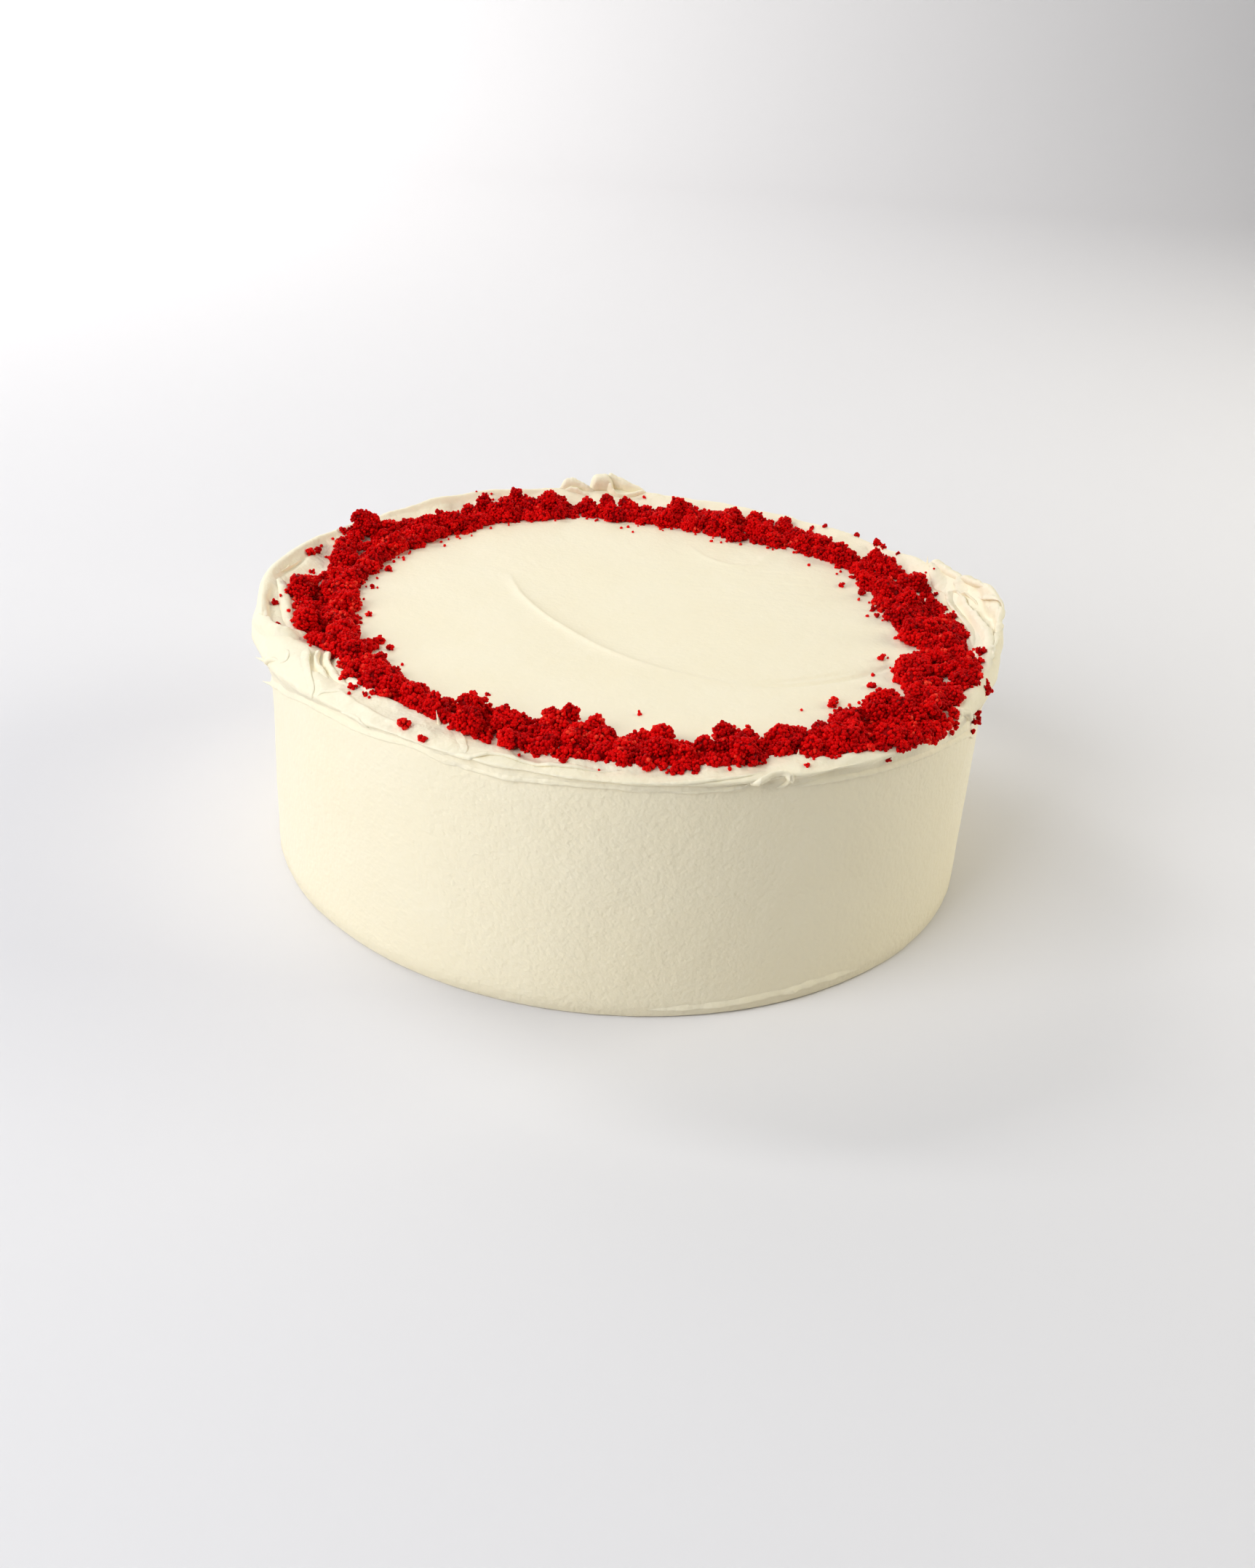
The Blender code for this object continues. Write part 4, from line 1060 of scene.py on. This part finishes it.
def lump_places():
    """Angle, radius and size of each large lump. Each goes where the ring is emptiest among a few
    places drawn at random, so that the lumps cover the ring evenly."""
    rng = random.Random(LUMP_SEED)
    places = []
    for count, smallest, largest in LUMPS:
        for _ in range(count):
            size = rng.uniform(smallest, largest)
            drawn = []
            for _ in range(LUMP_TRIES):
                angle = rng.uniform(0.0, 360.0)
                inner, outer, _ = (float(v) for v in crumb_ring(angle))
                radius = rng.uniform(inner + 0.6 * size, outer - 0.6 * size)
                here = radius * np.array((math.cos(math.radians(angle)), math.sin(math.radians(angle))))
                room = min((math.dist(here, there) - other for there, other, _, _ in places),
                           default=1.0)
                drawn.append((room, tuple(here), angle, radius))
            _, here, angle, radius = max(drawn, key=lambda place: place[0])
            places.append((here, size, angle, radius))
    return np.array([(angle, radius, size) for _, size, angle, radius in places])


def wander(angle, seed):
    """How far a ragged edge lies from its even line at each angle: a sum of sines, most of it
    between -1 and 1."""
    circle = WANDER_CIRCLE * polar(angle, 1.0, 0.0)
    return (uneven(circle, WANDER_LONG, seed, WANDER_WAVES)
            + uneven(circle, WANDER_SHORT, seed + 1, WANDER_WAVES))


def ring_places(angle, share):
    """Angle and radius at each share of the way from the ring's ragged inner edge to its outer one."""
    inner, outer, _ = crumb_ring(angle)
    inner = inner + RAGGED_EDGES[0] * wander(angle, 31)
    outer = np.minimum(outer + RAGGED_EDGES[1] * wander(angle, 33), CAKE_RADIUS - RING_MARGIN)
    return inner + share * (outer - inner)


def crumb_balls():
    """Centre and radii of every ball whose joined surface the grains cover: the large lumps, an
    even carpet, knobs at random on the carpet and the lumps, sprouts out of the knobs, and the
    loose crumbs. The large balls come first, and their number is given too."""
    rng = np.random.default_rng(LUMP_SEED)
    angle, radius, size = lump_places().T
    height = frosting_height(angle, radius) + LUMP_BED * bed_relief(angle, radius) + LUMP_SUNK * size
    lumps = polar(angle, radius, height)
    lump_radii = LUMP_CORE * size[:, None] * np.array(LUMP_SPREAD)

    angle = rng.uniform(0.0, 360.0, KNOBS)
    radius = ring_places(angle, rng.uniform(*KNOB_PLACE, KNOBS))
    least, most = KNOB_RADIUS
    size = least + (most - least) * rng.uniform(0.0, 1.0, KNOBS) ** KNOB_SKEW
    ground = frosting_height(angle, radius) + KNOB_BED * bed_relief(angle, radius)
    flat = polar(angle, radius, 0.0)
    gap = np.linalg.norm(flat[:, None, :2] - lumps[None, :, :2], axis=-1) / lump_radii[:, 0]
    cover = lumps[:, 2] + lump_radii[:, 2] * np.sqrt(np.clip(1.0 - gap**2, 0.0, 1.0))
    on_lump = np.where(gap < 1.0, cover, -np.inf).max(axis=1)
    knobs = polar(angle, radius, np.maximum(ground, on_lump) + size * rng.uniform(*KNOB_LIFT, KNOBS))
    knob_radii = size[:, None] * rng.uniform(*KNOB_STRETCH, (KNOBS, 3))

    large = np.concatenate((lumps, knobs))
    large_radii = np.concatenate((lump_radii, knob_radii))
    root = rng.integers(0, len(large), SPROUTS)
    direction = rng.normal(size=(SPROUTS, 3))
    direction[:, 2] = np.abs(direction[:, 2]) - 0.3
    direction /= np.linalg.norm(direction, axis=1, keepdims=True)
    sprouts = large[root] + direction * large_radii[root] * rng.uniform(*SPROUT_REACH, (SPROUTS, 1))
    size = rng.uniform(*SPROUT_RADIUS, (SPROUTS, 1))
    sprout_radii = size * rng.uniform(*SPROUT_STRETCH, (SPROUTS, 3))

    index = np.arange(CARPET)
    angle = 360.0 * (CARPET_STEPS[0] * index % 1.0) + rng.normal(0.0, CARPET_JITTER, CARPET)
    radius = ring_places(angle, CARPET_STEPS[1] * index % 1.0)
    size = rng.uniform(*CARPET_RADIUS, CARPET)
    height = frosting_height(angle, radius) + CARPET_BED * bed_relief(angle, radius)
    carpet = polar(angle, radius, height - size * rng.uniform(0.0, CARPET_SUNK, CARPET))
    carpet_radii = size[:, None] * rng.uniform(*CARPET_STRETCH, (CARPET, 3))

    angle, radius, size = np.array(LOOSE_ON_TOP, float).T
    loose = polar(angle, radius, frosting_height(angle, radius) + LOOSE_LIFT * size)
    spilled = np.stack((rng.normal(*SPILL_ANGLE, SPILLED), rng.uniform(*SPILL_PLACE, SPILLED),
                        rng.uniform(*SPILL_RADIUS, SPILLED)), axis=-1)
    side_angle, side_place, side_size = np.concatenate((LOOSE_ON_SIDE, spilled)).T
    outward = side_slopes(side_angle, row_at(side_place))[2]
    stuck = on_side(side_angle, row_at(side_place)) + STUCK_LIFT * side_size[:, None] * outward
    size = np.concatenate((size, side_size))
    loose_radii = size[:, None] * rng.uniform(*LOOSE_STRETCH, (len(size), 3))
    return (np.concatenate((large, sprouts, carpet, loose, stuck)),
            np.concatenate((large_radii, sprout_radii, carpet_radii, loose_radii)), len(large))


def grain_places(centres, radii):
    """Places on the outside of the joined balls, about one grain apart: each ball's share of an
    even sphere of points, without those inside another ball or under the frosting. Each place
    also gets its ball's number."""
    rng = np.random.default_rng(LUMP_SEED + 1)
    mean = radii.mean(axis=1)
    count = np.ceil(2.0 * math.pi * (mean / GRAIN_SPACING) ** 2 * GRAINS_DRAWN).astype(int)
    ball = np.repeat(np.arange(len(centres)), count)
    direction = rng.normal(size=(len(ball), 3))
    direction /= np.linalg.norm(direction, axis=1, keepdims=True)
    places = centres[ball] + direction * radii[ball] * rng.uniform(*GRAIN_DEPTH, (len(ball), 1))
    kept = direction[:, 2] > UNDERSIDE
    for start in range(0, len(centres), BALLS_AT_ONCE):
        block = slice(start, start + BALLS_AT_ONCE)
        reach = (((places[:, None] - centres[block]) / radii[block]) ** 2).sum(-1)
        other = ball[:, None] != start + np.arange(reach.shape[1])
        kept &= ~((reach < BURIED) & other).any(axis=1)
    angle = np.degrees(np.arctan2(places[:, 1], places[:, 0]))
    radius = np.hypot(places[:, 0], places[:, 1])
    above = places[:, 2] > frosting_height(angle, radius) - 0.1
    kept &= above | (radius > CAKE_RADIUS)
    return places[kept], ball[kept]


def dust_places():
    """Single grains just outside and inside the ring, fewer the further they lie from it."""
    rng = np.random.default_rng(LUMP_SEED + 3)
    angle = rng.uniform(0.0, 360.0, DUST)
    inner, outer, _ = crumb_ring(angle)
    gap = rng.exponential(DUST_GAP[0], DUST) + DUST_GAP[1]
    outside = rng.random(DUST) < DUST_OUTSIDE
    radius = np.where(outside, np.minimum(outer + gap, CAKE_RADIUS - DUST_MARGIN), inner - gap)
    return polar(angle, radius, frosting_height(angle, radius) + DUST_LIFT)


def spaced(places, distance):
    """Numbers of the places that are left when one that falls in a cell of a fine grid which an
    earlier place already has is left out."""
    cell = np.floor(places / distance).astype(np.int64)
    code = (cell[:, 0] * 4001 + cell[:, 1]) * 4001 + cell[:, 2]
    return np.sort(np.unique(code, return_index=True)[1])


def ball_shape(rounds):
    """Corners and faces of a 20-sided ball, with each face split into four that many times and
    the new corners pushed out to the ball's surface."""
    golden = (1.0 + math.sqrt(5.0)) / 2.0
    corners = np.array([(-1, golden, 0), (1, golden, 0), (-1, -golden, 0), (1, -golden, 0),
                        (0, -1, golden), (0, 1, golden), (0, -1, -golden), (0, 1, -golden),
                        (golden, 0, -1), (golden, 0, 1), (-golden, 0, -1), (-golden, 0, 1)])
    corners /= np.linalg.norm(corners[0])
    faces = np.array([(0, 11, 5), (0, 5, 1), (0, 1, 7), (0, 7, 10), (0, 10, 11), (1, 5, 9), (5, 11, 4),
                      (11, 10, 2), (10, 7, 6), (7, 1, 8), (3, 9, 4), (3, 4, 2), (3, 2, 6), (3, 6, 8),
                      (3, 8, 9), (4, 9, 5), (2, 4, 11), (6, 2, 10), (8, 6, 7), (9, 8, 1)])
    for _ in range(rounds):
        a, b, c = (corners[faces[:, k]] for k in range(3))
        ab, bc, ca = a + b, b + c, c + a
        split = np.stack((a, ab, ca, b, bc, ab, c, ca, bc, ab, bc, ca), axis=1).reshape(-1, 3)
        split /= np.linalg.norm(split, axis=1, keepdims=True)
        _, first, same = np.unique(np.round(split, 6), axis=0, return_index=True, return_inverse=True)
        corners = split[first]
        faces = same.reshape(-1, 3)
    return corners, faces


def balls_mesh(name, centres, radii, rounds, roughness, tones, seed):
    """Balls as one mesh: for each, a copy of the ball shape whose corners are moved in or out at
    random, stretched to its radii and turned at random. Each ball keeps one tone."""
    rng = np.random.default_rng(seed)
    corners, faces = ball_shape(rounds)
    count = len(centres)
    shape = corners * rng.uniform(1.0 - roughness, 1.0 + roughness, (count, len(corners), 1))
    quaternion = rng.normal(size=(count, 4))
    quaternion /= np.linalg.norm(quaternion, axis=1, keepdims=True)
    w, x, y, z = quaternion.T
    turn = np.stack((1 - 2 * (y * y + z * z), 2 * (x * y - z * w), 2 * (x * z + y * w),
                     2 * (x * y + z * w), 1 - 2 * (x * x + z * z), 2 * (y * z - x * w),
                     2 * (x * z - y * w), 2 * (y * z + x * w), 1 - 2 * (x * x + y * y)), axis=-1)
    turned = np.einsum("nij,nkj->nki", turn.reshape(-1, 3, 3), shape)
    points = turned * radii[:, None] + centres[:, None]
    indices = faces[None] + len(corners) * np.arange(count)[:, None, None]
    made = mesh_from(name, points.reshape(-1, 3) * MM, indices.ravel(), np.full(len(faces) * count, 3))
    tone = made.data.attributes.new("tone", "FLOAT", "POINT")
    tone.data.foreach_set("value", np.repeat(tones, len(corners)).astype(np.float32))
    return made


def red_velvet_crumb():
    """Moist red velvet sponge: cocoa and food colour make it a deep red that lets a little light
    through, so thin grains glow brighter, and butter gives single grains a faint wet glint. The
    lightest grains' colour is partly a painted highlight, and the darkest is painted shade."""
    made = bpy.data.materials.new("red_velvet_crumb")
    made.use_nodes = True
    tree = made.node_tree
    surface = tree.nodes["Principled BSDF"]
    tone = node(tree, "ShaderNodeAttribute", {"attribute_name": "tone"})
    ramp = node(tree, "ShaderNodeValToRGB", inputs={"Fac": tone.outputs["Fac"]})
    stops = ramp.color_ramp.elements
    # The darkest stop colours the cores: painted shade for the gaps between grains.
    stops[0].color = linear(CRUMB_CORE_SHADE)
    # The lightest stop is an orange-red that some grains have, made lighter still as a painted
    # highlight.
    stops[1].color = linear(CRUMB_LIGHT_AND_GLINT)
    for place, colour in ((0.18, CRUMB_DARK), (0.55, CRUMB_RED), (0.88, CRUMB_BRIGHT)):
        stops.new(place).color = linear(colour)
    tree.links.new(ramp.outputs["Color"], surface.inputs["Base Color"])
    surface.inputs["Roughness"].default_value = 0.4
    surface.inputs["IOR"].default_value = 1.45
    surface.inputs["Specular IOR Level"].default_value = 0.04
    surface.inputs["Subsurface Weight"].default_value = 0.25
    surface.inputs["Subsurface Radius"].default_value = (1.0, 0.10, 0.06)
    surface.inputs["Subsurface Scale"].default_value = 0.0008
    return made


# The cores' colour: painted shade for the gaps between grains.
CRUMB_CORE_SHADE = "#7C0103"
CRUMB_DARK = "#9E0104"
CRUMB_RED = "#D40406"
CRUMB_BRIGHT = "#E80C0A"
# The lightest grains: orange-red of their own, and partly a painted highlight standing in for glints.
CRUMB_LIGHT_AND_GLINT = "#FF4C34"

TABLE_STEP = 0.75
TABLE_ANGLES = np.arange(0.0, 360.0, TABLE_STEP)
TABLE_RADII = np.arange(70.0, 119.0, 0.7)
HEIGHT_TABLE = height_table()
crumb = red_velvet_crumb()
ball_centres, ball_radii, large_balls = crumb_balls()
tone_rng = np.random.default_rng(LUMP_SEED + 4)
ball_tones = tone_rng.random(len(ball_centres))
core_radii = CORE_SHARE * ball_radii
# Dark tones for the cores: painted shade in the gaps between grains.
core_shade_tones = CORE_SHADE_TONE * ball_tones
large = slice(0, large_balls)
small = slice(large_balls, None)
pieces = [
    balls_mesh("crumb_cores", ball_centres[large], core_radii[large], 1, CORE_ROUGHNESS,
               core_shade_tones[large], LUMP_SEED + 5),
    balls_mesh("small_crumb_cores", ball_centres[small], core_radii[small], 0, CORE_ROUGHNESS,
               core_shade_tones[small], LUMP_SEED + 6),
]
grains, grain_balls = grain_places(ball_centres, ball_radii)
kept = spaced(grains, GRAIN_CELL)
grains = np.concatenate((grains[kept], dust_places()))
shared_tones = np.concatenate((ball_tones[grain_balls[kept]], np.full(DUST, DUST_TONE)))
least, own, shared = GRAIN_TONES
grain_tones = least + own * tone_rng.random(len(grains)) + shared * shared_tones
grain_radii = tone_rng.uniform(*GRAIN_RADIUS, (len(grains), 1))
grain_radii = grain_radii * tone_rng.uniform(*GRAIN_SKEW, (len(grains), 3))
order = np.argsort(np.arctan2(grains[:, 1], grains[:, 0]))
for sector, part in enumerate(np.array_split(order, SECTORS)):
    pieces.append(balls_mesh(f"crumbs_{sector}", grains[part], grain_radii[part], 0, GRAIN_ROUGHNESS,
                             grain_tones[part], LUMP_SEED + 10 + sector))
for piece in pieces:
    piece.data.materials.append(crumb)
    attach(piece, "root")
    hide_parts("frosted_cake")


# The room. A pale floor that curves up behind the cake, and soft light from large panels: the main
# one from the front left, a weak one straight above, one from the right, and one that lights the
# backdrop at the left, which throws pale light all over the cake.
FLOOR_COLOUR = "#E4E2E2"
FLOOR_REACH = 4.0
STUDIO_COLOUR = "#9A9898"               # what shows past the floor's edge; it gives no light
BACKDROP_DISTANCE = 1.4
BACKDROP_BEND = 0.5
BACKDROP_HEIGHT = 2.4
CAKE_MIDDLE = (0.0, 0.0, 0.05)
BACKDROP_MIDDLE = (-1.0, 1.9, 0.5)
# Lights: (name, place, target, size in metres, power in watts, colour).
LIGHTS = (
    ("key", (-0.90, -0.80, 0.82), CAKE_MIDDLE, 1.05, 17.7, (1.0, 1.025, 1.08)),
    ("top", (0.0, 0.0, 1.5), CAKE_MIDDLE, 0.9, 3.1, (0.98, 1.04, 1.14)),
    ("fill", (1.2, 0.2, 0.6), CAKE_MIDDLE, 0.8, 10.4, (1.02, 0.995, 0.88)),
    ("backdrop", (-1.2, 0.9, 1.5), BACKDROP_MIDDLE, 1.0, 36.4, (1.0, 1.0, 1.0)),
)


def studio_floor():
    """A sheet that runs level towards the back, bends up along a quarter circle and stands
    straight: one profile, carried from side to side."""
    bend = np.linspace(0.0, math.pi / 2.0, 24)
    back = BACKDROP_DISTANCE + BACKDROP_BEND * np.sin(bend)
    up = BACKDROP_BEND * (1.0 - np.cos(bend))
    profile = np.concatenate(([(-FLOOR_REACH, 0.0)], np.stack((back, up), axis=-1),
                              [(BACKDROP_DISTANCE + BACKDROP_BEND, BACKDROP_HEIGHT)]))
    sides = np.array((-FLOOR_REACH, FLOOR_REACH))
    points = np.array([(x, y, z) for y, z in profile for x in sides])
    rows = np.arange(len(profile) - 1)[:, None] * 2
    quads = np.concatenate((rows, rows + 1, rows + 3, rows + 2), axis=1)
    return mesh_from("floor", points, quads.ravel(), np.full(len(quads), 4))


def area_light(name, place, target, size, power, colour):
    """A square panel at a place, turned to face the target."""
    panel = bpy.data.lights.new(name, "AREA")
    panel.shape = "SQUARE"
    panel.size = size
    panel.energy = power
    panel.color = colour
    made = bpy.data.objects.new(name, panel)
    facing = (Vector(target) - Vector(place)).to_track_quat("-Z", "Y").to_matrix().to_4x4()
    made.matrix_world = Matrix.Translation(place) @ facing
    bpy.context.scene.collection.objects.link(made)


floor = studio_floor()
paper = bpy.data.materials.new("matte_backdrop_paper")
paper.use_nodes = True
paper.node_tree.nodes["Principled BSDF"].inputs["Base Color"].default_value = linear(FLOOR_COLOUR)
paper.node_tree.nodes["Principled BSDF"].inputs["Roughness"].default_value = 0.9
floor.data.materials.append(paper)

for light in LIGHTS:
    area_light(*light)
world = bpy.data.worlds.new("studio")
world.use_nodes = True
camera_ray = node(world.node_tree, "ShaderNodeLightPath").outputs["Is Camera Ray"]
world.node_tree.nodes["Background"].inputs["Color"].default_value = linear(STUDIO_COLOUR)
world.node_tree.links.new(camera_ray, world.node_tree.nodes["Background"].inputs["Strength"])
bpy.context.scene.world = world
bpy.context.scene.view_settings.view_transform = "Standard"
